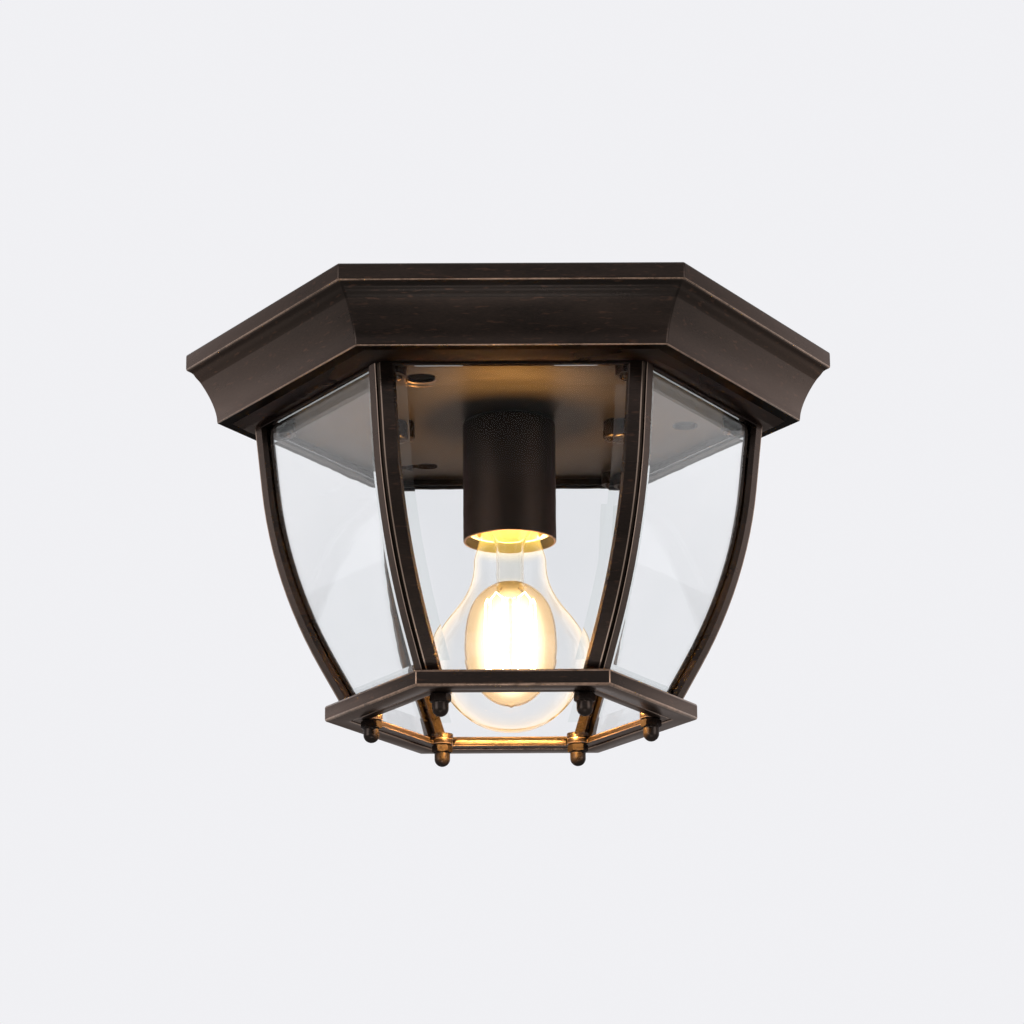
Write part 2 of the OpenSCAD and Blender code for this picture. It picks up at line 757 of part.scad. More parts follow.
module bottom_ring() {
    groove_a = opening_a + inner_strip_w;
    band_top = ring_low + ring_h;
    edge = 0.6;
    color(bronze) difference() {
        union() {
            rotate_extrude($fn = 6)
                polygon([[ring_r - edge, band_top], [ring_r, band_top - edge],
                    [ring_r, ring_low + edge], [ring_r - edge, ring_low],
                    [groove_a / flat, ring_low], [groove_a / flat, seat_z + strip_groove],
                    [(groove_a - strip_groove) / flat, seat_z + strip_groove],
                    [(groove_a - strip_groove) / flat, seat_z], [opening_a / flat, seat_z],
                    [opening_a / flat, flange_top],
                    [ring_r - ring_band_t / flat, flange_top],
                    [ring_r - ring_band_t / flat, band_top]]);
            ring_of_six(nut_out)
                rod(lug_r, seat_z, flange_top - seat_z);
        }
        ring_of_six(nut_out)
            rod(foot_stud_d / 2 + slip, seat_z - through, flange_top - seat_z + 2 * through);
        ring_of_six(nut_out)
            rod(lug_r + 0.8, ring_low - through, seat_z - ring_low + through);
    }
}

module rib_foot_studs() {
    low = nut_z - nut_h + nut_dome_d / 2;
    color(zinc)
        ring_of_six(nut_out)
            rod(foot_stud_d / 2, low, flange_top + foot_lug_t - low);
}

module acorn_nut(number) {
    color(dark_bronze)
        corner(number, nut_out)
            difference() {
                union() {
                    hex_rod(nut_af, nut_z - nut_hex_h, nut_hex_h);
                    rotate_extrude()
                        polygon(concat([[0, nut_z - nut_hex_h / 2]],
                            [[nut_dome_d / 2, nut_z - nut_hex_h / 2]],
                            arc([0, dome_z], nut_dome_d / 2, 0, -90, 8)));
                }
                rod(foot_stud_d / 2 + slip, dome_z - 0.3, nut_z - dome_z + 0.3 + through);
            }
}

// ---- Socket ----

module socket_cover() {
    r = cover_d / 2;
    lip = 0.2;
    color(dark_bronze) difference() {
        rotate_extrude()
            polygon(concat([[nipple_d / 2 + slip, deck_z]],
                arc([r - cover_round, deck_z - cover_round], cover_round, 90, 0, 5),
                [[r, cover_z], [r - cover_wall - lip, cover_z],
                 [r - cover_wall - lip, cover_z + 1], [r - cover_wall, cover_z + 1.6],
                 [r - cover_wall, deck_z - cover_round - 1],
                 [r - cover_round - 0.4, deck_z - cover_top_t],
                 [nipple_d / 2 + slip, deck_z - cover_top_t]]));
    }
}

// The porcelain body that carries the screw shell and the centre contact
module lampholder() {
    r = holder_d / 2;
    color("ivory") difference() {
        rotate_extrude()
            polygon([[0, holder_top], [r - 5, holder_top], [r - 1, holder_top - 6],
                [r - 1, holder_z + 9], [r, holder_z + 8], [r, holder_z + 0.8],
                [r - 0.8, holder_z], [holder_bore, holder_z], [holder_bore, holder_floor],
                [0, holder_floor]]);
        rod(nipple_d / 2 + slip, nipple_low, holder_top - nipple_low + through);
        translate([0, lead_out, 0])
            rod(lead_d / 2 + slip, holder_floor - through, nipple_low - holder_floor + 2 * through);
        translate([0, -lead_out, 0])
            rod(lead_d / 2 + slip, neutral_z, nipple_low - neutral_z + through);
    }
}

// A wave of rounded ridges for a thread, from `high` down over `length`
function thread_line(radius, high, length) =
    [for (i = [0:floor(length / thread_pitch) * 6])
        [radius - thread_depth * (1 - cos(60 * i)) / 2, high - i * thread_pitch / 6]];

module screw_shell() {
    ridges = thread_line(shell_in + thread_depth, shell_top - 2, shell_l - shell_plain);
    last = ridges[len(ridges) - 1];
    color(brass)
        rotate_extrude()
            polygon(concat([[shell_in + thread_depth, shell_top]], ridges,
                [[shell_in + thread_depth, shell_low], [shell_in + thread_depth + shell_wall, shell_low],
                 [shell_in + thread_depth + shell_wall, last[1]]],
                reversed([for (p = ridges) [p[0] + shell_wall, p[1]]]),
                [[shell_in + thread_depth + shell_wall, shell_top]]));
}

// A brass strip, folded back under itself, that presses on the lamp's tip
module centre_contact() {
    t = 0.5;
    w = 6;
    low = tip_z + 0.3;
    high = holder_floor;
    color(brass) translate([0, w / 2, 0]) rotate([90, 0, 0])
        linear_extrude(w)
            polygon([[-1.6, high], [8.5, high], [9, high - t], [1.5, low], [-1.5, low],
                [-2.3, low + 0.7], [-1.8, low + 1], [-1.3, low + t], [1.4, low + t],
                [6.6, high - t - 0.2], [6.4, high - t], [-1.6, high - t]]);
}

module socket_nipple() {
    color(zinc) difference() {
        rod(nipple_d / 2, nipple_low, nipple_l);
        rod(nipple_bore_d / 2, nipple_low - through, nipple_l + 2 * through);
    }
}

module nipple_lock_nut() {
    color(zinc) difference() {
        hex_rod(nipple_nut_af, deck_top, nipple_nut_t);
        rod(nipple_d / 2 + slip, deck_top - through, nipple_nut_t + 2 * through);
    }
}

// ---- Lamp ----

module lamp_glass() {
    color(clear_glass)
        rotate_extrude()
            polygon(concat(bulb_outline(0), reversed(bulb_outline(bulb_wall))));
}

module amber_envelope() {
    color(amber_glass)
        rotate_extrude()
            polygon(concat(amber_outline(0), reversed(amber_outline(amber_wall))));
}

module lamp_cap() {
    ridges = thread_line(cap_r, cap_top - 1.5, cap_thread_l);
    last = ridges[len(ridges) - 1];
    color(brass)
        rotate_extrude()
            polygon(concat([[cap_r - thread_depth - 1.5, cap_top]], ridges,
                [[cap_r, cap_low + 1], [cap_r + 0.2, cap_low + 0.6], [cap_r + 0.2, cap_low],
                 [cap_r - cap_wall, cap_low], [cap_r - cap_wall, last[1]]],
                reversed([for (p = ridges) [p[0] - cap_wall, p[1]]]),
                [[cap_r - thread_depth - 1.5 - cap_wall, cap_top]]));
}

module cap_insulator() {
    color("black")
        rotate_extrude()
            polygon([[0, cap_top + clear], [cap_r - 2.2, cap_top + clear],
                [cap_r - 3.4, cap_top + 1.2], [5, tip_z - 1.2], [0, tip_z - 1.2]]);
}

module tip_contact() {
    color(zinc)
        rotate_extrude()
            polygon([[0, tip_z - 1.1], [4.4, tip_z - 1.1], [4.4, tip_z - 1],
                [3.6, tip_z - 0.4], [2, tip_z], [0, tip_z]]);
}

// The glass stem, flared where it is fused to the envelope's neck
module lamp_stem() {
    color(clear_glass)
        rotate_extrude()
            polygon(concat(stem_outline(0), reversed(stem_outline(stem_wall))));
}

// Wires that spread from the stem to the filament's bends, and the rod below the stem
module filament_supports() {
    low = filament_top - filament_h;
    step = 360 / strands;
    reach_r = filament_r * cos(step / 2) - filament_d / 2;
    rise = support_z - filament_top;
    run = reach_r - stem_r;
    rod_low = low - support_d / 2;
    start = 0.9;                      // how far along its line a wire starts, clear of the stem
    color("gray") {
        for (i = [0:2:strands - 2])
            rotate(step * (i + 0.5))
                translate([stem_r - 0.3, 0, support_z])
                    rotate([0, 180 - atan(run / rise), 0])
                        translate([0, 0, start]) cylinder(d = support_d, h = norm([run, rise]) - start);
        rod(support_d, rod_low, stem_low - stem_end - rod_low);
        for (i = [1:2:strands - 3])
            rotate(step * (i + 0.5))
                translate([0, 0, low]) rotate([0, 90, 0]) cylinder(d = 0.9 * support_d, h = reach_r);
    }
}

// Upright strands joined in pairs, by turns above and below, into one zigzag round the stem
module filament() {
    low = filament_top - filament_h;
    step = 360 / strands;
    chord = 2 * filament_r * sin(step / 2);
    link_d = 0.8 * filament_d;
    color("orange")
        for (i = [0:strands - 1])
            rotate(step * i) {
                translate([filament_r, 0, low - filament_d / 2])
                    cylinder(d = filament_d, h = filament_h + filament_d);
                if (i < strands - 1)
                    translate([filament_r, 0, i % 2 == 0 ? filament_top : low])
                        rotate([-90, 0, step / 2]) cylinder(d = link_d, h = chord);
            }
}

// ---- Nodes ----

canopy();
canopy_gasket();
crossbar();
mounting_studs();
stud_lock_nuts();
thumb_nut(-1);  // thumb_nut_left
thumb_nut(1);  // thumb_nut_right
ground_screws();
ground_lead();
live_lead();
neutral_lead();
wire_connectors();
cage_top_frame();
rib(1);  // rib_1
rib(2);  // rib_2
rib(3);  // rib_3
rib(4);  // rib_4
rib(5);  // rib_5
rib(6);  // rib_6
cage_screws();
glass_pane(1);  // glass_pane_1
glass_pane(2);  // glass_pane_2
glass_pane(3);  // glass_pane_3
glass_pane(4);  // glass_pane_4
glass_pane(5);  // glass_pane_5
glass_pane(6);  // glass_pane_6
bottom_ring();
rib_foot_studs();
acorn_nut(1);  // acorn_nut_1
acorn_nut(2);  // acorn_nut_2
acorn_nut(3);  // acorn_nut_3
acorn_nut(4);  // acorn_nut_4
acorn_nut(5);  // acorn_nut_5
acorn_nut(6);  // acorn_nut_6
socket_cover();
lampholder();
screw_shell();
centre_contact();
socket_nipple();
nipple_lock_nut();
lamp_glass();
amber_envelope();
lamp_cap();
cap_insulator();
tip_contact();
lamp_stem();
filament_supports();
filament();
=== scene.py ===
import math
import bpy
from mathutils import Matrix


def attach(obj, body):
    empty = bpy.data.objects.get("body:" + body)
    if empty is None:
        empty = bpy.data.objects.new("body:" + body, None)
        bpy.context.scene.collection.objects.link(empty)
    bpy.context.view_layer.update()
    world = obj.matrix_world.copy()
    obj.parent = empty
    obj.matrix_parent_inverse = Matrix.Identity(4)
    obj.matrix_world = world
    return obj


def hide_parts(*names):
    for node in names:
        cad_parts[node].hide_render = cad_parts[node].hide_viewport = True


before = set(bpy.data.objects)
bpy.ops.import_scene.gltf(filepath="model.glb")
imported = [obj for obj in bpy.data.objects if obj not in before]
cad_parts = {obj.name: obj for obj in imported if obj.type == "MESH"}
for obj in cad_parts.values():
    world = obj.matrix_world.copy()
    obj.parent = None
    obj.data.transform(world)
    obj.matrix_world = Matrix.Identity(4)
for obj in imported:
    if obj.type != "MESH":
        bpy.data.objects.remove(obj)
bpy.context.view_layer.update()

from types import SimpleNamespace as sizes

import bpy
from mathutils import Matrix, Vector

mm = 0.001
flat = math.cos(math.radians(30))  # half width of a hexagon over its corner radius
scene = bpy.context.scene
print("frame loaded:", len(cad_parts), "nodes")


# small tools

def clearSelection():
    if bpy.context.mode != "OBJECT":
        bpy.ops.object.mode_set(mode="OBJECT")
    bpy.ops.object.select_all(action="DESELECT")


def pick(piece):
    clearSelection()
    piece.select_set(True)
    bpy.context.view_layer.objects.active = piece


def startEdit(piece, what="VERT", action="SELECT"):
    pick(piece)
    bpy.ops.object.mode_set(mode="EDIT")
    bpy.ops.mesh.select_mode(type=what)
    bpy.ops.mesh.select_all(action=action)


def endEdit():
    bpy.ops.object.mode_set(mode="OBJECT")


def remove(piece):
    clearSelection()
    piece.select_set(True)
    bpy.ops.object.delete()


def named(piece, name):
    piece.name = name
    piece.data.name = name
    return piece


def polar(radius, turn):
    return radius * math.cos(math.radians(turn)), radius * math.sin(math.radians(turn))


def arcPoints(x, z, radius, start, end, steps):
    ends = [polar(radius, start + (end - start) * i / steps) for i in range(steps + 1)]
    return [(x + a, z + b) for a, b in ends]


def cupPoints(radius, z, height, turns):
    # along a quarter of an oval, from its lowest point outwards
    return [(radius * math.sin(math.radians(a)), z - height * math.cos(math.radians(a))) for a in turns]


def sweepPoints(a, b, c, d, steps):
    found = []
    for i in range(steps + 1):
        t = i / steps
        u = 1 - t
        found.append(tuple(u ** 3 * p + 3 * u * u * t * q + 3 * u * t * t * r + t ** 3 * s
                           for p, q, r, s in zip(a, b, c, d)))
    return found


def drawChain(name, points, closed=True):
    # a line of vertices in the XZ plane, drawn point by point from one corner; points are in mm
    clearSelection()
    bpy.ops.mesh.primitive_plane_add(size=0.01)
    piece = named(bpy.context.object, name)
    startEdit(piece)
    bpy.ops.mesh.merge(type="CENTER")
    here = points[0]
    bpy.ops.transform.translate(value=(here[0] * mm, 0, here[1] * mm))
    for point in points[1:]:
        step = ((point[0] - here[0]) * mm, 0, (point[1] - here[1]) * mm)
        bpy.ops.mesh.extrude_vertices_move(TRANSFORM_OT_translate={"value": step})
        here = point
    if closed:
        bpy.ops.mesh.select_all(action="DESELECT")
        endEdit()
        piece.data.vertices[0].select = piece.data.vertices[-1].select = True
        bpy.ops.object.mode_set(mode="EDIT")
        bpy.ops.mesh.edge_face_add()
    endEdit()
    return piece


def spinOutline(name, points, steps, closed=True):
    piece = drawChain(name, points, closed)
    startEdit(piece)
    bpy.ops.mesh.spin(steps=steps, angle=math.tau, center=(0, 0, 0), axis=(0, 0, 1))
    bpy.ops.mesh.select_all(action="SELECT")
    bpy.ops.mesh.remove_doubles(threshold=0.002 * mm)
    bpy.ops.mesh.normals_make_consistent(inside=False)
    endEdit()
    return piece


def smooth(piece, angle=35):
    pick(piece)
    bpy.ops.object.shade_smooth_by_angle(angle=math.radians(angle))


def applyModifier(piece, kind, **settings):
    pick(piece)
    modifier = piece.modifiers.new(kind.lower(), kind)
    for key, value in settings.items():
        setattr(modifier, key, value)
    bpy.ops.object.modifier_apply(modifier=modifier.name)


def cutAway(piece, cutters, operation="DIFFERENCE"):
    for cutter in cutters:
        applyModifier(piece, "BOOLEAN", operation=operation, solver="EXACT", object=cutter)
        remove(cutter)


def asMade(name):
    # names the new primitive and applies its place to its mesh
    piece = named(bpy.context.object, name)
    bpy.ops.object.transform_apply(location=True, rotation=True, scale=True)
    return piece


def pin(name, x, y, low, high, radius, sides=48, more=0):
    # a round cutter in mm, which is longer from front to back by `more`
    clearSelection()
    bpy.ops.mesh.primitive_cylinder_add(vertices=sides, radius=radius * mm, depth=(high - low) * mm,
                                        location=(x * mm, y * mm, (low + high) / 2 * mm))
    piece = asMade(name)
    for vertex in piece.data.vertices:
        if more:
            vertex.co.y += math.copysign(more / 2 * mm, vertex.co.y - y * mm)
    return piece


def block(name, *spans):
    # a box cutter from its low and high ends along each axis, in mm
    clearSelection()
    bpy.ops.mesh.primitive_cube_add(size=1, location=[(a + b) / 2 * mm for a, b in spans],
                                    scale=[(b - a) * mm for a, b in spans])
    return asMade(name)


def turned(angle, axis="Z"):
    return Matrix.Rotation(math.radians(angle), 4, axis)


def moved(x, y=0, z=0):
    return Matrix.Translation((x * mm, y * mm, z * mm))


def addObject(name, data):
    thing = bpy.data.objects.new(name, data)
    scene.collection.objects.link(thing)
    return thing


def placedCopy(piece, name, place=Matrix()):
    copy = addObject(name, piece.data.copy())
    copy.data.name = name
    copy.data.transform(place)
    return copy


def repeated(piece, name, places):
    # copies of a piece at several places, joined in one
    made = [placedCopy(piece, name, place) for place in places]
    remove(piece)
    pick(made[0])
    for copy in made:
        copy.select_set(True)
    bpy.ops.object.join()
    return named(made[0], name)


def copyNode(node, name):
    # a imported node's shape as one clean mesh with joined faces
    piece = placedCopy(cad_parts[node], name)
    piece.data.materials.clear()
    pick(piece)
    bpy.ops.mesh.customdata_custom_splitnormals_clear()
    startEdit(piece)
    bpy.ops.mesh.remove_doubles(threshold=0.003 * mm)
    bpy.ops.mesh.dissolve_limited(angle_limit=math.radians(0.4))
    bpy.ops.mesh.normals_make_consistent(inside=False)
    endEdit()
    return piece


def tie(piece, body, node):
    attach(piece, body)
    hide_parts(node)


def dress(piece, looks, body, node, angle=35):
    # gives a finished piece its materials, and ties it to the frame
    kept = [face.material_index for face in piece.data.polygons]
    piece.data.materials.clear()
    for look in looks:
        piece.data.materials.append(finish[look])
    for face, index in zip(piece.data.polygons, kept):
        face.material_index = index
    smooth(piece, angle)
    tie(piece, body, node)
    return piece


def softCopy(node, name, looks, body, slotName, edge, angle=40, smoothAngle=35, clamp=True):
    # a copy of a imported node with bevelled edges, which wear the second look if there is one
    piece = copyNode(node, name)
    for look in looks:
        piece.data.materials.append(finish[look])
    applyModifier(piece, "BEVEL", width=edge * mm, segments=2, limit_method="ANGLE", angle_limit=math.radians(angle),
                  material=min(len(looks), 2) - 1, use_clamp_overlap=clamp)
    return dress(piece, looks, body, node, smoothAngle)


def softCopies(body, rows):
    # each row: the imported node, the piece, its look and slot, the bevel, its angle and the smoothing angle
    for node, name, look, slotName, *bevel in rows:
        softCopy(node, name, [look], body, slotName, *bevel)


def goRound(first, name, node):
    # the same piece five times more, turned about the middle
    for i in range(2, 7):
        tie(placedCopy(first, name + str(i), turned(60 * (i - 1))), "fixture", node + str(i))


# the camera at the photograph's angle

cameraPlace = {"location": (-0.017268, -1.45476, -0.465283), "turn": (105.3405, 0.4496, -0.5945),
               "lens": 133.022}
camera = addObject("camera", bpy.data.cameras.new("camera"))
camera.location = cameraPlace["location"]
camera.rotation_euler = [math.radians(a) for a in cameraPlace["turn"]]
camera.data.lens = cameraPlace["lens"]
camera.data.sensor_width = 36
scene.camera = camera
print("camera placed")


# patterns shared by the finishes

def addNode(tree, kind, x, y, **settings):
    node = tree.nodes.new(kind if kind.startswith("NodeGroup") else "ShaderNode" + kind)
    node.location = (x, y)
    for key, value in settings.items():
        setattr(node, key, value)
    return node


def wire(tree, *links):
    # each link names a node, its output, another node and its input
    for source, output, target, entry in links:
        tree.links.new(source.outputs[output], target.inputs[entry])


def fill(node, entry, value):
    node.inputs[entry].default_value = value


def fillSpan(node, side, span):
    # both ends of a Map Range's From or To side
    fill(node, side + " Min", span[0])
    fill(node, side + " Max", span[1])


def addMath(tree, x, y, operation):
    return addNode(tree, "Math", x, y, operation=operation)


def addStep(tree, x, y, span):
    # rises softly from 0 to 1 between the span's ends
    node = addNode(tree, "MapRange", x, y, interpolation_type="SMOOTHSTEP")
    fillSpan(node, "From", span)
    return node


def addBlend(tree, x, y, **colours):
    # mixes the colours of inputs 6 and 7, where they are given as first and second
    node = addNode(tree, "Mix", x, y, data_type="RGBA")
    for label, colour in colours.items():
        fill(node, {"first": 6, "second": 7}[label], (*colour, 1))
    return node


def newGroup(name, inputs, outputs):
    # an input is a vector where it has no value, and a colour where it has four
    # an output is a number, but for the one named Color
    tree = bpy.data.node_groups.new(name, "ShaderNodeTree")
    for label, start in inputs.items():
        kind = "NodeSocketVector" if start is None else "NodeSocketFloat"
        if isinstance(start, tuple):
            kind = "NodeSocketColor"
        socket = tree.interface.new_socket(name=label, in_out="INPUT", socket_type=kind)
        if start is not None:
            socket.default_value = start
    for label in outputs:
        kind = "NodeSocketColor" if label == "Color" else "NodeSocketFloat"
        tree.interface.new_socket(name=label, in_out="OUTPUT", socket_type=kind)
    return tree, addNode(tree, "NodeGroupInput", -900, 0), addNode(tree, "NodeGroupOutput", 700, 0)


def makeMottle():
    # broad clouds, fine grain and sparse spots, each from 0 to 1
    tree, start, end = newGroup(
        "mottle", {"Vector": None, "Broad Scale": 24.0, "Fine Scale": 900.0, "Spot Scale": 210.0},
        ["Broad", "Fine", "Spots"])
    rows = (("Broad Scale", 4, (0.36, 0.66), "Broad"), ("Fine Scale", 2, (0.3, 0.7), "Fine"),
            ("Spot Scale", 1, (0.63, 0.76), "Spots"))
    for row, (scale, detail, span, out) in enumerate(rows):
        noise = addNode(tree, "TexNoise", -500, -260 * row)
        fill(noise, "Detail", detail)
        spread = addNode(tree, "MapRange", -200, -260 * row)
        fillSpan(spread, "From", span)
        wire(tree, (start, "Vector", noise, "Vector"), (start, scale, noise, "Scale"),
             (noise, 0, spread, "Value"), (spread, 0, end, out))
    return tree


def makeTwoTone():
    # mixes two colours by the clouds and lets a third one through in the spots
    tree, start, end = newGroup(
        "twoTone", {"Dark": (0.1, 0.1, 0.1, 1), "Light": (0.2, 0.2, 0.2, 1), "Spot": (0.3, 0.3, 0.3, 1),
                    "Broad": 0.5, "Fine": 0.5, "Spots": 0.0, "Grain": 0.25}, ["Color"])
    blend = addBlend(tree, -300, 0)
    spot = addBlend(tree, 200, 0)
    shade = addNode(tree, "Mix", -50, -200, data_type="FLOAT")
    wire(tree, (start, "Grain", shade, 0), (start, "Broad", shade, 2), (start, "Fine", shade, 3),
         (shade, 0, blend, 0), (start, "Dark", blend, 6), (start, "Light", blend, 7),
         (start, "Spots", spot, 0), (blend, 2, spot, 6), (start, "Spot", spot, 7), (spot, 2, end, "Color"))
    return tree


def makeThread():
    # ridges round an upright screw, one for each pitch in metres
    tree, start, end = newGroup("threadRidges", {"Vector": None, "Pitch": 0.0008}, ["Height"])
    parts = addNode(tree, "SeparateXYZ", -600, 0)
    share = addMath(tree, -400, 0, "DIVIDE")
    wave = addMath(tree, -200, 0, "PINGPONG")
    fill(wave, 1, 0.5)
    wire(tree, (start, "Vector", parts, 0), (parts, "Z", share, 0), (start, "Pitch", share, 1),
         (share, 0, wave, 0), (wave, 0, end, "Height"))
    return tree


def makeRidgeLines():
    # 1 along two thin lines beside each of the cage's six corners, where worn copper also stands in as a painted
    # highlight on the groove's edges
    tree, start, end = newGroup("ridgeLines", {"Vector": None, "Distance": 0.001, "Half Width": 0.0002},
                                ["Mask"])
    parts = addNode(tree, "SeparateXYZ", -700, 0)
    turn = addMath(tree, -500, 100, "ARCTAN2")
    fold = addMath(tree, -300, 100, "PINGPONG")
    fill(fold, 1, math.radians(30))
    sine = addMath(tree, -100, 100, "SINE")
    plan = addNode(tree, "VectorMath", -500, -150, operation="MULTIPLY")
    fill(plan, 1, (1, 1, 0))
    reach = addNode(tree, "VectorMath", -300, -150, operation="LENGTH")
    away = addMath(tree, 100, 0, "MULTIPLY")
    near = addMath(tree, 350, 0, "COMPARE")
    wire(tree, (start, "Vector", parts, 0), (parts, "Y", turn, 0), (parts, "X", turn, 1),
         (turn, 0, fold, 0), (fold, 0, sine, 0), (start, "Vector", plan, 0), (plan, "Vector", reach, 0),
         (sine, 0, away, 0), (reach, "Value", away, 1), (away, 0, near, 0), (start, "Distance", near, 1),
         (start, "Half Width", near, 2), (near, 0, end, "Mask"))
    return tree


mottle, twoTone, threadRidges, ridgeLines = makeMottle(), makeTwoTone(), makeThread(), makeRidgeLines()


# painted, metal and other solid finishes

def newMaterial(name):
    material = bpy.data.materials.new(name)
    material.use_nodes = True
    tree = material.node_tree
    tree.nodes.clear()
    shader = addNode(tree, "BsdfPrincipled", 500, 0)
    out = addNode(tree, "OutputMaterial", 900, 0)
    wire(tree, (shader, 0, out, 0))
    coords = addNode(tree, "TexCoord", -1300, 0)
    place = addNode(tree, "Mapping", -1100, 0)
    wire(tree, (coords, "Object", place, "Vector"))
    return material, tree, shader, place, out


def addTones(tree, place, scales, colours, grain=0.25):
    # the clouds and grain, and the tones that they mix
    pattern = addNode(tree, "Group", -800, 0, node_tree=mottle)
    tone = addNode(tree, "Group", -350, 200, node_tree=twoTone)
    for label, value in zip(("Broad Scale", "Fine Scale", "Spot Scale"), scales):
        fill(pattern, label, value)
    for label, colour in zip(("Dark", "Light", "Spot"), colours):
        fill(tone, label, (*colour, 1))
    fill(tone, "Grain", grain)
    wire(tree, (place, 0, pattern, "Vector"), (pattern, "Broad", tone, "Broad"), (pattern, "Fine", tone, "Fine"))
    return pattern, tone


def addRoughness(tree, pattern, shader, span):
    rough = addNode(tree, "MapRange", -350, -150)
    fillSpan(rough, "To", span)
    wire(tree, (pattern, "Broad", rough, "Value"), (rough, 0, shader, "Roughness"))


def addRelief(tree, x, strength, depth, source, output):
    relief = addNode(tree, "Bump", x, -350)
    fill(relief, "Strength", strength)
    fill(relief, "Distance", depth * mm)
    wire(tree, (source, output, relief, "Height"))
    return relief


def clearWhere(tree, shader, out, kind, mask, tint=(1, 1, 1)):
    # light passes straight through where the mask is 1
    clear = addNode(tree, "BsdfTransparent", 500, 200)
    fill(clear, 0, (*tint, 1))
    test = addNode(tree, kind, 300, -500)
    choose = addNode(tree, "MixShader", 720, 100)
    wire(tree, (test, mask, choose, 0), (shader, 0, choose, 1), (clear, 0, choose, 2), (choose, 0, out, 0))


def paint(name, look):
    # a surface from two tones, grain, spots, a range of roughness and a fine relief
    material, tree, shader, place = newMaterial(name)[:4]
    pattern, tone = addTones(tree, place, look["scales"],
                             [look["dark"], look["light"], look.get("spotColour", look["light"])],
                             look.get("grain", 0.25))
    if "spots" in look:
        weaker = addMath(tree, -560, -60, "MULTIPLY")
        fill(weaker, 1, look["spots"])
        wire(tree, (pattern, "Spots", weaker, 0), (weaker, 0, tone, "Spots"))
    wire(tree, (tone, "Color", shader, "Base Color"))
    # worn copper lines beside the rib corners, which are also a painted highlight on the groove's edges
    if "lines" in look:
        lines = addNode(tree, "Group", -350, 450, node_tree=ridgeLines)
        fill(lines, "Distance", look["lines"][0] * mm)
        fill(lines, "Half Width", look["lines"][1] * mm)
        coords = place.inputs["Vector"].links[0].from_node
        worn = addBlend(tree, 200, 300, second=look["lineColour"])
        wire(tree, (coords, "Object", lines, "Vector"), (lines, "Mask", worn, 0), (tone, "Color", worn, 6),
             (worn, 2, shader, "Base Color"))
    addRoughness(tree, pattern, shader, look["rough"])
    last = addRelief(tree, 150, look.get("relief", 0.3), look.get("reliefDepth", 0.02), pattern, "Fine")
    if "pitch" in look:
        ridges = addNode(tree, "Group", -350, -500, node_tree=threadRidges)
        fill(ridges, "Pitch", look["pitch"] * mm)
        thread = addRelief(tree, 320, 1, look["pitch"] * 0.55, ridges, 0)
        wire(tree, (place, 0, ridges, "Vector"), (last, 0, thread, "Normal"))
        last = thread
    wire(tree, (last, 0, shader, "Normal"))
    for entry, key, usual in (("Metallic", "metallic", 0), ("Coat Weight", "coat", 0),
                              ("Coat Roughness", "coatRough", 0.2), ("Specular IOR Level", "specular", 0.5)):
        fill(shader, entry, look.get(key, usual))
    fill(shader, "Specular Tint", (*look.get("edgeTint", (1, 1, 1)), 1))
    fill(place, "Scale", look.get("stretch", (1, 1, 1)))
    return material


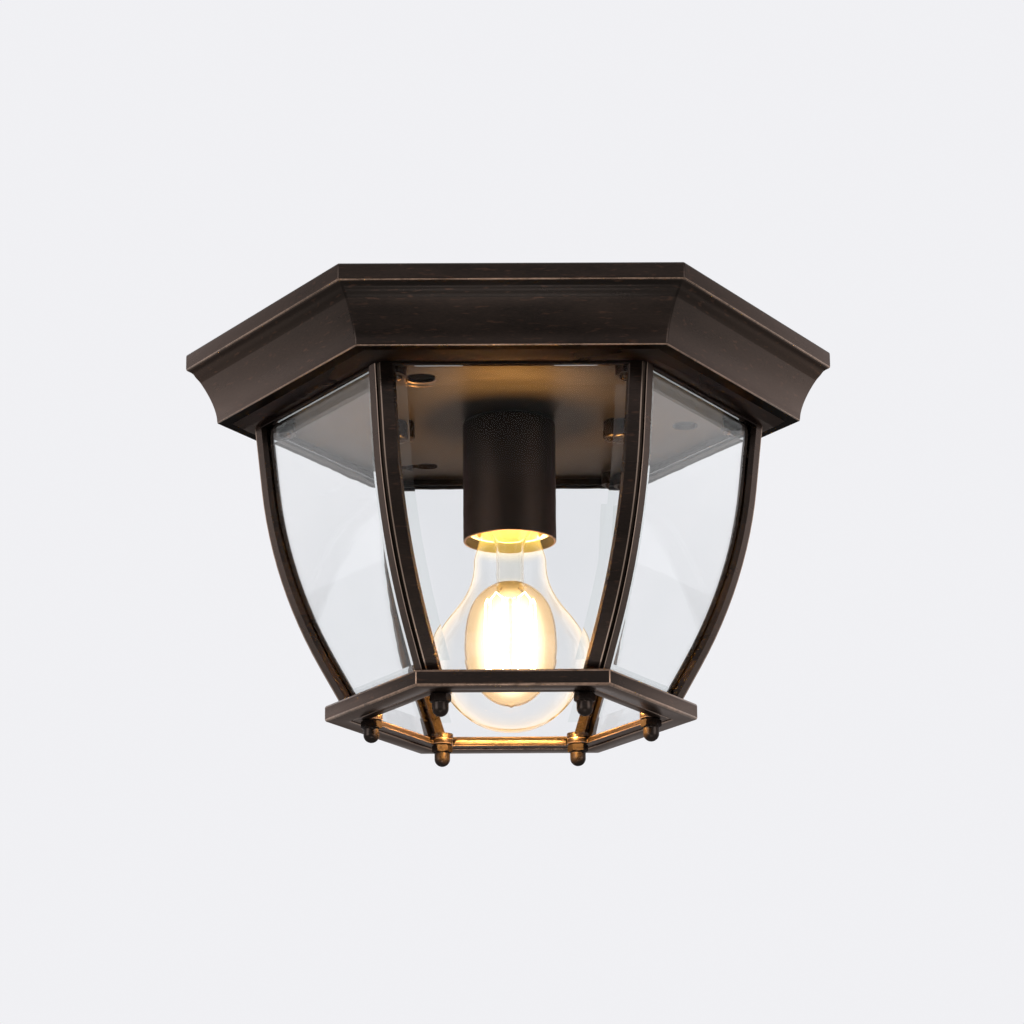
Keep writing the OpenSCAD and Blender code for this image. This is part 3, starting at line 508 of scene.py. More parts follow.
finishes = {
    "bronze": {"dark": (0.011, 0.0076, 0.006), "light": (0.025, 0.0162, 0.0124), "spotColour": (0.07, 0.034, 0.022),
        "spots": 0.4, "metallic": 0.86, "rough": (0.26, 0.36), "coat": 0.08, "coatRough": 0.24,
        "scales": (26, 520, 190), "grain": 0.45, "stretch": (1, 1, 5), "edgeTint": (0.8, 0.68, 0.63)},
    "deckBronze": {"dark": (0.013, 0.0098, 0.0082), "light": (0.022, 0.0165, 0.014),
        "spotColour": (0.05, 0.034, 0.025), "spots": 0.25, "metallic": 0.85, "rough": (0.34, 0.42), "relief": 0.12,
        "scales": (20, 520), "grain": 0.35, "edgeTint": (1.0, 0.85, 0.76), "stretch": (0.3, 1, 1)},
    # painted shade: a darker, duller bronze for the canopy floor's outer border and the ribs' grooves
    "paintedShadeBronze": {"dark": (0.006, 0.0044, 0.0035), "light": (0.012, 0.0082, 0.0062), "metallic": 0.9,
        "rough": (0.34, 0.44), "scales": (26, 520), "grain": 0.45, "edgeTint": (0.3, 0.26, 0.24),
        "specular": 0.3},
    "coverBronze": {"dark": (0.009, 0.0056, 0.0042), "light": (0.017, 0.0105, 0.0078), "metallic": 0.85,
        "rough": (0.42, 0.52), "relief": 0.12, "scales": (40, 420), "grain": 0.5, "edgeTint": (0.5, 0.4, 0.33)},
    "bronzeInside": {"dark": (0.022, 0.018, 0.016), "light": (0.034, 0.028, 0.024), "metallic": 0.7,
        "rough": (0.45, 0.6), "relief": 0.4, "scales": (30, 800)},
    "copperEdge": {"dark": (0.085, 0.055, 0.04), "light": (0.3, 0.195, 0.14), "spotColour": (0.045, 0.03, 0.022),
        "spots": 0.6, "metallic": 0.9, "rough": (0.24, 0.36), "relief": 0.2, "scales": (55, 700, 260),
        "grain": 0.4},
    # painted shade: a near black, matte inside for the socket cover
    "coverInsideShade": {"dark": (0.005, 0.004, 0.0035), "light": (0.01, 0.008, 0.007), "rough": (0.7, 0.85),
        "relief": 0.4, "scales": (60,), "specular": 0.1},
    "darkBronze": {"dark": (0.012, 0.0085, 0.007), "light": (0.025, 0.0172, 0.0137),
        "spotColour": (0.06, 0.036, 0.025), "spots": 0.3, "metallic": 0.85, "rough": (0.25, 0.36), "coat": 0.1,
        "relief": 0.25, "scales": (60, 900), "grain": 0.4, "edgeTint": (0.38, 0.3, 0.26)},
    "zinc": {"dark": (0.42, 0.43, 0.44), "light": (0.6, 0.6, 0.59), "spotColour": (0.7, 0.66, 0.5), "spots": 0.5,
        "metallic": 1, "rough": (0.28, 0.45), "relief": 0.35, "scales": (120, 1600, 420)},
    "zincThread": {"dark": (0.36, 0.36, 0.36), "light": (0.58, 0.58, 0.56), "metallic": 1, "rough": (0.3, 0.46),
        "relief": 0.2, "scales": (150, 1500), "pitch": 0.8},
    "shellBrass": {"dark": (0.5, 0.33, 0.12), "light": (0.74, 0.54, 0.24), "spotColour": (0.3, 0.17, 0.07),
        "spots": 0.4, "metallic": 1, "rough": (0.22, 0.38), "relief": 0.2, "scales": (90,)},
    "capBrass": {"dark": (0.62, 0.42, 0.17), "light": (0.8, 0.6, 0.29), "spotColour": (0.35, 0.22, 0.1),
        "spots": 0.3, "metallic": 1, "rough": (0.2, 0.34), "relief": 0.2, "scales": (110,)},
    "solder": {"dark": (0.4, 0.4, 0.41), "light": (0.62, 0.62, 0.62), "metallic": 1, "rough": (0.25, 0.5),
        "relief": 0.5, "reliefDepth": 0.06, "scales": (300, 900)},
    "wireSteel": {"dark": (0.3, 0.28, 0.25), "light": (0.48, 0.45, 0.4), "metallic": 1, "rough": (0.25, 0.4),
        "relief": 0.2, "scales": (400, 2500)},
    "greenSteel": {"dark": (0.01, 0.09, 0.022), "light": (0.022, 0.15, 0.04), "spotColour": (0.35, 0.36, 0.33),
        "spots": 0.35, "metallic": 0.75, "rough": (0.25, 0.4), "scales": (200,)},
    "greenJacket": {"dark": (0.012, 0.11, 0.024), "light": (0.022, 0.16, 0.038), "rough": (0.32, 0.46),
        "relief": 0.4, "scales": (70, 1200)},
    "blackJacket": {"dark": (0.012, 0.012, 0.013), "light": (0.024, 0.024, 0.025), "rough": (0.3, 0.45),
        "relief": 0.4, "scales": (70, 1200)},
    "whiteJacket": {"dark": (0.62, 0.6, 0.55), "light": (0.74, 0.72, 0.67), "rough": (0.3, 0.45), "relief": 0.4,
        "scales": (70, 1200)},
    "connector": {"dark": (0.62, 0.15, 0.014), "light": (0.74, 0.21, 0.025), "rough": (0.38, 0.5), "relief": 0.6,
        "reliefDepth": 0.04, "scales": (90, 1600)},
    "foam": {"dark": (0.01, 0.01, 0.011), "light": (0.042, 0.042, 0.045), "spotColour": (0.004, 0.004, 0.004),
        "spots": 0.9, "rough": (0.85, 1.0), "relief": 1.0, "reliefDepth": 0.4, "scales": (60, 700, 900),
        "grain": 0.6, "specular": 0.2},
    "porcelain": {"dark": (0.68, 0.65, 0.58), "light": (0.78, 0.76, 0.7), "spotColour": (0.42, 0.38, 0.32),
        "spots": 0.12, "rough": (0.14, 0.26), "coat": 0.6, "coatRough": 0.06, "relief": 0.15,
        "scales": (45, 500, 600)},
    "blackGlass": {"dark": (0.004, 0.004, 0.005), "light": (0.012, 0.011, 0.012), "rough": (0.06, 0.16),
        "coat": 0.5, "coatRough": 0.05, "relief": 0.15, "scales": (160,)},
}
# painted shade: a darker bronze for the moulding's downward faces under the band
finishes["mouldingShadeBronze"] = {**finishes["bronze"], "dark": (0.006, 0.0043, 0.0034),
                             "light": (0.013, 0.0088, 0.0068), "edgeTint": (0.6, 0.5, 0.45)}
# painted shade: a darker bronze for the cage's top frame, in the dark band under the canopy
finishes["frameBronze"] = {**finishes["bronze"], "dark": (0.006, 0.0044, 0.0036),
                           "light": (0.012, 0.0085, 0.0067), "edgeTint": (0.5, 0.43, 0.39)}
# the ribs' lines: worn copper and a painted highlight beside the groove
finishes["ribBronze"] = {**finishes["bronze"], "lines": (1.05, 0.22), "lineColour": (0.26, 0.19, 0.15)}
finish = {name: paint(name, look) for name, look in finishes.items()}


def glass(name, look):
    # clear glass that lets lamp light through, faintly wavy, with a deeper tint where it is seen edge-on; a look
    # with a glow also gets painted light, set by height and by how the glass faces the eye
    material, tree, shader, place, out = newMaterial(name)
    pattern, tone = addTones(tree, place, (look["waveScale"], 500), look["tint"], 0.05)
    facing = addNode(tree, "LayerWeight", -500, 420)
    rim = addStep(tree, -250, 420, look["rimSpan"])
    deeper = addBlend(tree, 50, 200, second=look["rimTint"])
    wire(tree, (facing, "Facing", rim, "Value"), (rim, 0, deeper, 0), (tone, "Color", deeper, 6),
         (deeper, 2, shader, "Base Color"))
    addRoughness(tree, pattern, shader, look["rough"])
    relief = addRelief(tree, 150, 1, look["wave"], pattern, "Broad")
    wire(tree, (relief, 0, shader, "Normal"))
    fill(shader, "Transmission Weight", 1)
    fill(shader, "IOR", look["ior"])
    fill(shader, "Specular Tint", (*[look["gloss"]] * 3, 1))
    # painted light: the glass glows, though it is no lamp
    if "glow" in look:
        low, high, edge = look["glow"]
        warm = addBlend(tree, 100, 500, first=low, second=high)
        parts = addNode(tree, "SeparateXYZ", -800, 620)
        span = addStep(tree, -500, 620, look["glowSpan"])
        paintedGlowCore = addStep(tree, -250, 820, look["coreSpan"])
        shine = addBlend(tree, 300, 500, second=edge)
        wire(tree, (place, 0, parts, 0), (parts, "Z", span, "Value"), (span, 0, warm, 0),
             (facing, "Facing", paintedGlowCore, "Value"), (paintedGlowCore, 0, shine, 0), (warm, 2, shine, 6),
             (shine, 2, shader, "Emission Color"))
        fill(shader, "Emission Strength", look["glowStrength"])
    clearWhere(tree, shader, out, "LightPath", "Is Shadow Ray", look.get("shadow", (0.96, 0.96, 0.96)))
    return material


glasses = {
    "paneGlass": {"tint": ((0.925, 0.935, 0.94), (0.95, 0.955, 0.96)), "rough": (0.0, 0.02), "wave": 0.03,
        "waveScale": 18, "ior": 1.42, "gloss": 0.12, "rimTint": (0.78, 0.83, 0.83), "rimSpan": (0.5, 1)},
    "paneBevel": {"tint": ((0.78, 0.82, 0.81), (0.82, 0.86, 0.85)), "rough": (0.0, 0.02), "wave": 0.03,
        "waveScale": 18, "ior": 1.42, "gloss": 1.0, "rimTint": (0.36, 0.42, 0.42), "rimSpan": (0.25, 0.75)},
    # painted light: the lamp glass glows golden in its neck below the cap and orange where seen edge-on
    "lampGlass": {"tint": ((0.975, 0.975, 0.97), (0.99, 0.99, 0.985)), "rough": (0.0, 0.012), "wave": 0.02,
        "waveScale": 30, "ior": 1.2, "gloss": 0.6, "rimTint": (0.12, 0.08, 0.05), "rimSpan": (0.93, 0.985),
        "glow": ((0, 0, 0), (1.0, 0.66, 0.14), (1.0, 0.58, 0.12)), "glowStrength": 0.3,
        "glowSpan": (-0.0845, -0.0785), "coreSpan": (0.3, 1.0)},
    # painted light: the amber shell glows pale gold where it faces the eye and fades to dark brown at its rim
    "amberGlass": {"tint": ((0.985, 0.83, 0.62), (1.0, 0.88, 0.7)), "rough": (0.05, 0.1), "wave": 0.03,
        "waveScale": 50, "shadow": (0.98, 0.86, 0.62), "ior": 1.1, "gloss": 0.4, "rimTint": (0.93, 0.72, 0.48),
        "rimSpan": (0.55, 1.0), "glow": ((1.0, 0.92, 0.78), (1.0, 0.88, 0.66), (0.12, 0.066, 0.022)),
        "glowStrength": 0.5, "glowSpan": (-0.1475, -0.1315), "coreSpan": (0.05, 0.42)},
    # painted light: the stem glows warm at its closed lower end and light brown where seen edge-on
    "stemGlass": {"tint": ((0.93, 0.93, 0.9), (0.98, 0.97, 0.95)), "rough": (0.02, 0.06), "wave": 0.03,
        "waveScale": 120, "ior": 1.15, "gloss": 0.6, "rimTint": (0.34, 0.26, 0.2), "rimSpan": (0.75, 0.97),
        "glow": ((1.0, 0.72, 0.32), (0.02, 0.012, 0.004), (0.5, 0.34, 0.14)), "glowStrength": 0.22,
        "glowSpan": (-0.0985, -0.0935), "coreSpan": (0.3, 1.0)},
}
glasses["paneEnd"] = {**glasses["paneBevel"], "tint": glasses["paneGlass"]["tint"], "gloss": 0.12,
                      "shadow": (0.12, 0.12, 0.12)}
for name, look in glasses.items():
    finish[name] = glass(name, look)


def glowing(name, dark, light, strength):
    material, tree, shader, place = newMaterial(name)[:4]
    tone = addTones(tree, place, (160,), (dark, light))[1]
    wire(tree, (tone, "Color", shader, "Emission Color"), (tone, "Color", shader, "Base Color"))
    fill(shader, "Emission Strength", strength)
    fill(shader, "Roughness", 0.6)
    return material


finish["filament"] = glowing("filament", (1.0, 0.8, 0.45), (1.0, 0.93, 0.7), 11)
print("finishes made:", len(finish))


# the canopy

canopySize = {
    "cornerRadius": 130, "height": 29, "wall": 2, "bandHeight": 6.8, "mouldingIn": 6, "mouldingHeight": 5.2,
    "coveIn": 6.8, "coveBow": 1.6, "edge": 0.9, "rim": 3, "rebate": 3, "arris": 0.7,
    "wideHole": (65.2, 238, 11, 4), "smallHole": (69.8, 5, 9.8, 2), "keyhole": (71.6, 118, 4.6, 5, 12),
    "studGap": 88.9, "studHole": 2.65, "screwOut": 88, "screwHole": 1.55, "tubeHole": 5.05, "holeEdge": 0.5,
    "rimReach": 12, "floorReach": 110.5, "deckReach": 90,
}


def canopyOutline(s):
    r, h, e = s.cornerRadius, s.height, s.edge
    coveTop = -s.bandHeight - s.mouldingHeight
    coveR = r - s.mouldingIn
    baseR = coveR - s.coveIn
    wall = s.wall / flat
    points = arcPoints(r - e, -e, e, 90, 0, 5)
    points += arcPoints(r - e, -s.bandHeight + e, e, 0, -90, 5)
    for i in range(1, 19):
        t = i / 18
        points.append((r - e - (s.mouldingIn - e) * t - 0.35 * math.sin(math.tau * t),
                       -s.bandHeight - s.mouldingHeight * (0.78 * t + 0.22 * t ** 6)))
    cove = [(baseR + s.coveIn * (1 - t / 14) ** s.coveBow, coveTop - (h + coveTop - e) * t / 14)
            for t in range(15)]
    points += cove[1:]
    points += arcPoints(baseR - e, -h + e, e, -25, -90, 4)
    points += [(s.floorReach, -h), (0, -h), (0, -h + s.wall), (baseR - wall - 1.2, -h + s.wall)]
    points += [(baseR - wall, -h + s.wall + 1.2)]
    points += [(x - wall, z) for x, z in cove[::-1] if z > -h + s.wall + 1.5]
    points += [(coveR - wall, -s.rebate), (r - s.rim, -s.rebate), (r - s.rim, 0)]
    return points


def atCorner(x, y, spread=0.4):
    turn = math.degrees(math.atan2(y, x)) % 60
    return min(turn, 60 - turn) < spread


def selectArrises(piece, keep):
    # the edges that run along a hexagon's corners, seen from above
    mesh = piece.data
    for edge in mesh.edges:
        a, b = (mesh.vertices[i].co for i in edge.vertices)
        edge.select = (atCorner(a.x, a.y) and atCorner(b.x, b.y) and (a.xy - b.xy).length < 30 * mm
                       and keep(a) and keep(b) and a.xy.length > 20 * mm)


canopyFinishes = ("bronze", "copperEdge", "bronzeInside", "deckBronze", "paintedShadeBronze", "mouldingShadeBronze")


def makeCanopy(s):
    shell = spinOutline("canopyShell", canopyOutline(s), 6)
    startEdit(shell, "EDGE", "DESELECT")
    endEdit()
    low, inner = (-s.height + 0.3) * mm, (s.cornerRadius - s.mouldingIn - s.coveIn - 1.6) * mm
    selectArrises(shell, lambda v: v.z > low and v.xy.length > inner and v.z < -0.2 * mm)
    bpy.ops.object.mode_set(mode="EDIT")
    bpy.ops.mesh.bevel(offset=s.arris * mm, segments=3, affect="EDGES", material=1)
    endEdit()
    deck = -s.height
    under, over = deck - 1, deck + 3  # the cutters' ends, past both sides of the floor
    cutters = []
    for out, turn, width, more in (s.wideHole, s.smallHole):
        cutters.append(pin("roundHole", *polar(out, turn), under, over, width / 2, 64, more))
    out, turn, radius, slotWidth, slotLength = s.keyhole
    x, y = polar(out, turn)
    cutters += [pin("keyEye", x, y, under, over, radius),
                pin("keyEnd", x - slotLength, y, under - 0.01, over + 0.01, slotWidth / 2),
                block("keySlot", (x - slotLength, x), (y - slotWidth / 2, y + slotWidth / 2),
                      (under - 0.02, over + 0.02))]
    cutters += [pin("studWay", side * s.studGap / 2, 0, under, over, s.studHole) for side in (-1, 1)]
    cutters += [pin("screwWay", *polar(s.screwOut, 60 * i), under, over, s.screwHole, 24) for i in range(6)]
    cutters.append(pin("tubeWay", 0, 0, under, over, s.tubeHole))
    shell.data.materials.clear()
    for name in canopyFinishes:
        shell.data.materials.append(finish[name])
    cutAway(shell, cutters)
    startEdit(shell, "EDGE", "DESELECT")
    bpy.ops.mesh.edges_select_sharp(sharpness=math.radians(60))
    endEdit()
    out, turn = s.wideHole[:2]
    rimCentre = Vector(polar(out, turn)) * mm
    for edge in shell.data.edges:
        ends = [shell.data.vertices[i].co for i in edge.vertices]
        if any(abs(v.z - deck * mm) > 0.05 * mm or (v.xy - rimCentre).length > s.rimReach * mm for v in ends):
            edge.select = False
    bpy.ops.object.mode_set(mode="EDIT")
    bpy.ops.mesh.bevel(offset=s.holeEdge * mm, segments=1, affect="EDGES", material=0)
    endEdit()
    mouldingLow = deck + s.height - s.bandHeight - s.mouldingHeight
    wornHeights = [(-s.edge, 0), (-s.bandHeight, -s.bandHeight + s.edge), (deck, deck + s.edge)]
    for face in shell.data.polygons:  # worn edges, a duller hidden inside, the floor's warmer brown, and painted shade on the floor's outer border and on the moulding's lower faces
        c, n = face.center, face.normal
        outwards = c.xy.normalized().dot(n.xy)
        look = canopyFinishes[face.material_index]
        if c.z > (deck + s.wall - 0.3) * mm and n.z > 0.3 or outwards < -0.2 and c.z > (deck + s.wall) * mm:
            look = "bronzeInside"
        # the floor's outer border, outside the cage, gets painted shade
        elif n.z < -0.95 and c.z < (deck + 0.2) * mm:
            look = "deckBronze" if c.xy.length < s.deckReach * mm else "paintedShadeBronze"
        # the moulding's downward faces get painted shade
        elif mouldingLow * mm < c.z < -(s.bandHeight + 0.2) * mm and n.z < -0.3:
            look = "mouldingShadeBronze"
        elif 0.25 < abs(n.z) < 0.94 and any(a * mm <= c.z <= b * mm for a, b in wornHeights):
            look = "copperEdge"
        face.material_index = canopyFinishes.index(look)
    return shell


dress(makeCanopy(sizes(**canopySize)), canopyFinishes, "fixture", "canopy", angle=32)
print("canopy made")


# the cage's metal

sideCurve = {"halfWidth": 88.5, "leanTop": 5.6, "leanBottom": 26, "bendTop": -57.3, "bendRadius": 213, "top": -31.4}


def sideAt(inset, height):
    # the half width of the cage's outside at a height, moved in by `inset`
    c = sideCurve
    top, low = math.radians(c["leanTop"]), math.radians(c["leanBottom"])
    startX = c["halfWidth"] - (c["top"] - c["bendTop"]) * math.tan(top)
    centreX = startX - c["bendRadius"] * math.cos(top)
    centreZ = c["bendTop"] + c["bendRadius"] * math.sin(top)
    radius = c["bendRadius"] - inset
    highX, highZ = centreX + radius * math.cos(top), centreZ - radius * math.sin(top)
    lowX, lowZ = centreX + radius * math.cos(low), centreZ - radius * math.sin(low)
    if height > highZ:
        return highX + (height - highZ) * math.tan(top)
    if height < lowZ:
        return lowX - (lowZ - height) * math.tan(low)
    return centreX + math.sqrt(radius ** 2 - (height - centreZ) ** 2)


cageSize = {"frameEdge": 0.35, "ringEdge": 0.4, "ribEdge": 0.4, "grooveHalf": 0.95, "grooveDeep": 1.7}
ribFinishes = ("ribBronze", "copperEdge", "paintedShadeBronze", "bronze")

# the top frame wears painted shade
softCopy("cage_top_frame", "topFrame", ["frameBronze", "copperEdge"], "fixture", "bronze", cageSize["frameEdge"])
softCopy("bottom_ring", "bottomRing", ["bronze", "copperEdge"], "fixture", "bronze", cageSize["ringEdge"],
         clamp=False)
firstRib = softCopy("rib_1", "rib1", ribFinishes, "fixture", "bronze", cageSize["ribEdge"])
for face in firstRib.data.polygons:  # the groove gets painted shade, and only the outer faces carry the lines of worn copper and painted highlight
    c = face.center / mm
    worn = face.material_index == ribFinishes.index("copperEdge")
    if c.x > sideAt(0, c.z) / flat - cageSize["grooveDeep"] and abs(c.y) < cageSize["grooveHalf"]:
        face.material_index = ribFinishes.index("paintedShadeBronze")
    elif face.normal.x < (0.6 if worn else 0.2):
        face.material_index = ribFinishes.index("bronze")
goRound(firstRib, "rib", "rib_")
print("cage made")


# the bent panes

paneSize = {
    "out": 2.1, "thick": 3.0, "sideGap": 1.2, "top": -31.7, "bottom": -148.2, "bevelWide": 8.5, "bevelDeep": 0.6,
    "endShare": 0.95, "rows": 26, "columns": 8,
}
paneFinishes = ("paneGlass", "paneBevel", "paneEnd")


def makePane(s):
    # a bent sheet whose outer face slopes off towards its four edges
    rows, columns = s.rows, s.columns
    clearSelection()
    bpy.ops.mesh.primitive_grid_add(x_subdivisions=columns, y_subdivisions=rows, size=2)
    pane = named(bpy.context.object, "pane1")
    startEdit(pane)
    bpy.ops.mesh.extrude_region_move(TRANSFORM_OT_translate={"value": (0, 0, -1)})
    endEdit()
    slope = s.bevelWide * s.endShare  # how high the bevels are at the top and bottom edges
    low, high = s.bottom + slope, s.top - slope
    heights = [s.bottom, *[low + (high - low) * i / (rows - 2) for i in range(rows - 1)], s.top]
    for vertex in pane.data.vertices:
        column = round((vertex.co.x + 1) / 2 * columns)
        row = round((vertex.co.y + 1) / 2 * rows)
        back = vertex.co.z < -0.5
        atEdge = column in (0, columns) or row in (0, rows)
        height = heights[row]
        inset = s.out + (s.thick if back else s.bevelDeep if atEdge else 0)
        depth = sideAt(inset, height)
        half = depth * math.tan(math.radians(30)) - s.sideGap / flat
        inner = half - s.bevelWide
        steps = [-half, *[-inner + 2 * inner * i / (columns - 2) for i in range(columns - 1)], half]
        vertex.co = Vector((depth * mm, steps[column] * mm, height * mm))
    for face in pane.data.polygons:
        c = face.center
        height = c.z / mm
        outerFace = sideAt(s.out + s.bevelDeep, height) * mm < c.x + 0.0005
        half = sideAt(s.out, height) * math.tan(math.radians(30)) - s.sideGap / flat
        across = half - abs(c.y) / mm
        fromEnd = min(s.top - height, height - s.bottom) / s.endShare
        if outerFace and min(across, fromEnd) < s.bevelWide:
            face.material_index = paneFinishes.index("paneBevel" if across < fromEnd else "paneEnd")
    startEdit(pane)
    bpy.ops.mesh.normals_make_consistent(inside=False)
    endEdit()
    pane.data.transform(turned(30))
    return pane


firstPane = dress(makePane(sizes(**paneSize)), paneFinishes, "fixture", "glass_pane_1", angle=2.5)
goRound(firstPane, "pane", "glass_pane_")
print("panes made")


# nuts and screws

nutSize = {
    "thumb": {"width": 13.4, "high": -29.1, "height": 7.2, "bore": 2.1, "boreTop": -35.3, "round": 0.9},
    "acorn": {"out": 54.9, "flats": 7.2, "high": -151, "hexHeight": 3.3, "height": 8.8, "dome": 6.3, "bore": 1.85,
              "boreLow": -156.95},
    "screw": {"out": 88, "head": 5.6, "headHigh": -33.8, "headHeight": 1.9, "shank": 3, "shankTop": -25.5,
              "slotWide": 0.9, "slotDeep": 0.9, "slotTurn": 25, "slotStep": 47},
}


def makeThumbNut(s):
    r, top, low = s.width / 2, s.high, s.high - s.height
    e = s.round
    points = [(s.bore, top), (r - 0.5, top)] + arcPoints(r - 0.5, top - 0.5, 0.5, 75, 0, 3)
    points += arcPoints(r - e, low + e, e, 0, -78, 5)
    points += [(r - e - 1.6, low + 0.04), (r * 0.35, low), (0, low), (0, s.boreTop), (s.bore, s.boreTop)]
    return spinOutline("thumbNut", points, 64)


thumbNut = makeThumbNut(sizes(**nutSize["thumb"]))
for side, node, name in ((-1, "thumb_nut_left", "thumbNutLeft"), (1, "thumb_nut_right", "thumbNutRight")):
    nut = placedCopy(thumbNut, name, moved(side * canopySize["studGap"] / 2))
    dress(nut, ["darkBronze"], node, node, angle=30)
remove(thumbNut)


def makeAcornNut(s):
    corner = s.flats / 2 / flat
    top, hexLow, low = s.high, s.high - s.hexHeight, s.high - s.height
    dome = s.dome / 2
    points = [(s.bore, top), (s.flats / 2 - 0.15, top), (corner + 0.02, top - 0.42),
              (corner + 0.02, hexLow + 0.6), (s.flats / 2 - 0.25, hexLow + 0.02), (dome + 0.12, hexLow),
              (dome, hexLow - 0.2)]
    points += arcPoints(0, low + dome, dome, 0, -90, 12)
    points += [(0, s.boreLow), (s.bore, s.boreLow)]
    nut = spinOutline("acornNut", points, 60)
    clearSelection()
    bpy.ops.mesh.primitive_cylinder_add(vertices=6, radius=corner * mm, depth=(s.height + 4) * mm,
                                        location=(0, 0, (top + low) / 2 * mm),
                                        rotation=(0, 0, math.radians(30)))
    cutAway(nut, [asMade("nutHexagon")], "INTERSECT")
    return nut


acornNut = makeAcornNut(sizes(**nutSize["acorn"]))
for i in range(1, 7):
    node = "acorn_nut_" + str(i)
    nut = placedCopy(acornNut, "acornNut" + str(i), turned(60 * (i - 1)) @ moved(nutSize["acorn"]["out"]))
    dress(nut, ["darkBronze"], node, node, angle=30)
remove(acornNut)


def makeCageScrews(s):
    r, top, low = s.head / 2, s.headHigh, s.headHigh - s.headHeight
    points = [(0, s.shankTop), (s.shank / 2 - 0.3, s.shankTop), (s.shank / 2, s.shankTop - 0.4),
              (s.shank / 2, top), (r, top), (r, top - 0.5)]
    points += sweepPoints((r, top - 0.5), (r - 0.1, low + 0.5), (r - 1.3, low), (0, low), 8)[1:]
    screw = spinOutline("cageScrew", points, 40, closed=False)
    cutAway(screw, [block("slot", (-4, 4), (-s.slotWide / 2, s.slotWide / 2), (low - 1, low + s.slotDeep))])
    return repeated(screw, "cageScrews", [turned(60 * i) @ moved(s.out) @ turned(s.slotTurn + s.slotStep * i)
                                          for i in range(6)])


dress(makeCageScrews(sizes(**nutSize["screw"])), ["darkBronze"], "fixture", "cage_screws", angle=30)
print("nuts and screws made")


# socket and its cover

socketSize = {"width": 37, "top": -29, "low": -78.5, "wall": 0.9, "round": 2.2, "tubeHole": 5.05, "topThick": 1.5,
              "lip": 0.75}
coverFinishes = ("coverBronze", "coverInsideShade", "copperEdge")


def makeSocketCover(s):
    r, low, e, wall = s.width / 2, s.low, s.round, s.wall
    bead = s.lip / 2
    points = [(s.tubeHole, s.top)] + arcPoints(r - e, s.top - e, e, 90, 0, 8)
    points += [(r, low + bead)] + arcPoints(r - bead, low + bead, bead, -15, -90, 4)
    points += arcPoints(r - wall - 0.2 + 0.25, low + 0.25, 0.25, -90, -180, 3)
    points += [(r - wall - 0.2, low + 1), (r - wall, low + 1.6), (r - wall, s.top - e - 1)]
    points += [(r - e - 0.4, s.top - s.topThick), (s.tubeHole, s.top - s.topThick)]
    return spinOutline("socketCover", points, 96)


coverShell = makeSocketCover(sizes(**socketSize))
for face in coverShell.data.polygons:  # painted shade inside, with a worn lip
    c, n = face.center, face.normal
    if c.xy.length < (socketSize["width"] / 2 - socketSize["wall"] / 2) * mm and n.xy.dot(c.xy) < 0:
        face.material_index = coverFinishes.index("coverInsideShade")
    elif c.z < (socketSize["low"] + 0.25) * mm:
        face.material_index = coverFinishes.index("copperEdge")
dress(coverShell, coverFinishes, "fixture", "socket_cover")
softCopies("fixture", (
    ("lampholder", "holderBody", "porcelain", "porcelain", 0.35),
    ("screw_shell", "screwShell", "shellBrass", "socket_brass", 0.12, 60, 60),
    ("centre_contact", "contactStrip", "shellBrass", "socket_brass", 0.1),
    ("socket_nipple", "threadedTube", "zincThread", "zinc_steel", 0.25),
    ("nipple_lock_nut", "tubeNut", "zinc", "zinc_steel", 0.3),
))
print("socket made")


# the lamp

lampSize = {
    "low": -155.5, "width": 60, "lowHeight": 32, "shoulder": 36, "neck": 29, "wall": 0.45, "neckInCap": 11.5,
    "capLow": -75.2, "amberLow": -146, "amberWidth": 36.6, "amberLowHeight": 25, "amberHeight": 50,
    "amberWall": 0.6, "stem": 5.4, "stemWall": 0.8, "stemLow": -99, "stemEnd": 3, "stemFlare": -72.2, "flare": 10.3,
}


def bulbLine(s, inset):
    r, wide = s.width / 2 - inset, s.low + s.lowHeight
    neck, neckZ = s.neck / 2 - inset, s.low + s.lowHeight + s.shoulder
    points = cupPoints(r, wide, s.lowHeight - inset, [i * 90 / 28 for i in range(29)])
    points += sweepPoints((r, wide), (r, wide + 14), (neck, neckZ - 18), (neck, neckZ), 24)[1:]
    points += sweepPoints((neck, neckZ), (neck, neckZ + 4), (s.neckInCap - inset, s.capLow - 4),
                          (s.neckInCap - inset, s.capLow + 1), 10)[1:]
    return points + [(s.neckInCap - inset, s.capLow + 7)]


def amberLine(s, inset):
    r, wide = s.amberWidth / 2 - inset, s.amberLow + s.amberLowHeight
    top = s.amberLow + s.amberHeight
    points = [(0, s.amberLow + inset), (0.55, s.amberLow + inset + 0.25), (1.3, s.amberLow + inset + 0.8)]
    points += cupPoints(r, wide, s.amberLowHeight - inset - 0.7, range(10, 91, 4))
    points += sweepPoints((r, wide), (r, wide + 16), (13, top - 3 - inset),
                          (s.stem + 0.3 + s.amberWall - inset, top - inset / 4), 18)[1:]
    return points


def stemLine(s, inset):
    # a hollow glass stem with a small drop at its closed end
    r, low, flare = s.stem - inset, s.stemLow, s.stemFlare
    points = cupPoints(r, low, s.stemEnd - inset, range(0, 91, 9))
    return points + sweepPoints((r, flare - 14), (r, flare - 6), (s.flare - inset - 3, flare - 3),
                                (s.flare - inset, flare), 12)


shells = (("lampEnvelope", bulbLine, "wall", 96, "lampGlass", "lamp_glass", "lamp_glass"),
          ("amberShell", amberLine, "amberWall", 72, "amberGlass", "amber_glass", "amber_envelope"),
          ("stem", stemLine, "stemWall", 48, "stemGlass", "stem_glass", "lamp_stem"))
for name, line, wall, steps, look, slotName, node in shells:
    outside, inside = line(sizes(**lampSize), 0), line(sizes(**lampSize), lampSize[wall])
    shell = spinOutline(name, outside + inside[::-1], steps, closed=False)
    dress(shell, [look], "lamp", node, angle=60)

filamentSize = {"strands": 10, "radius": 9.6, "high": -101.2, "low": -130.2, "wire": 0.7, "bow": 0.5}


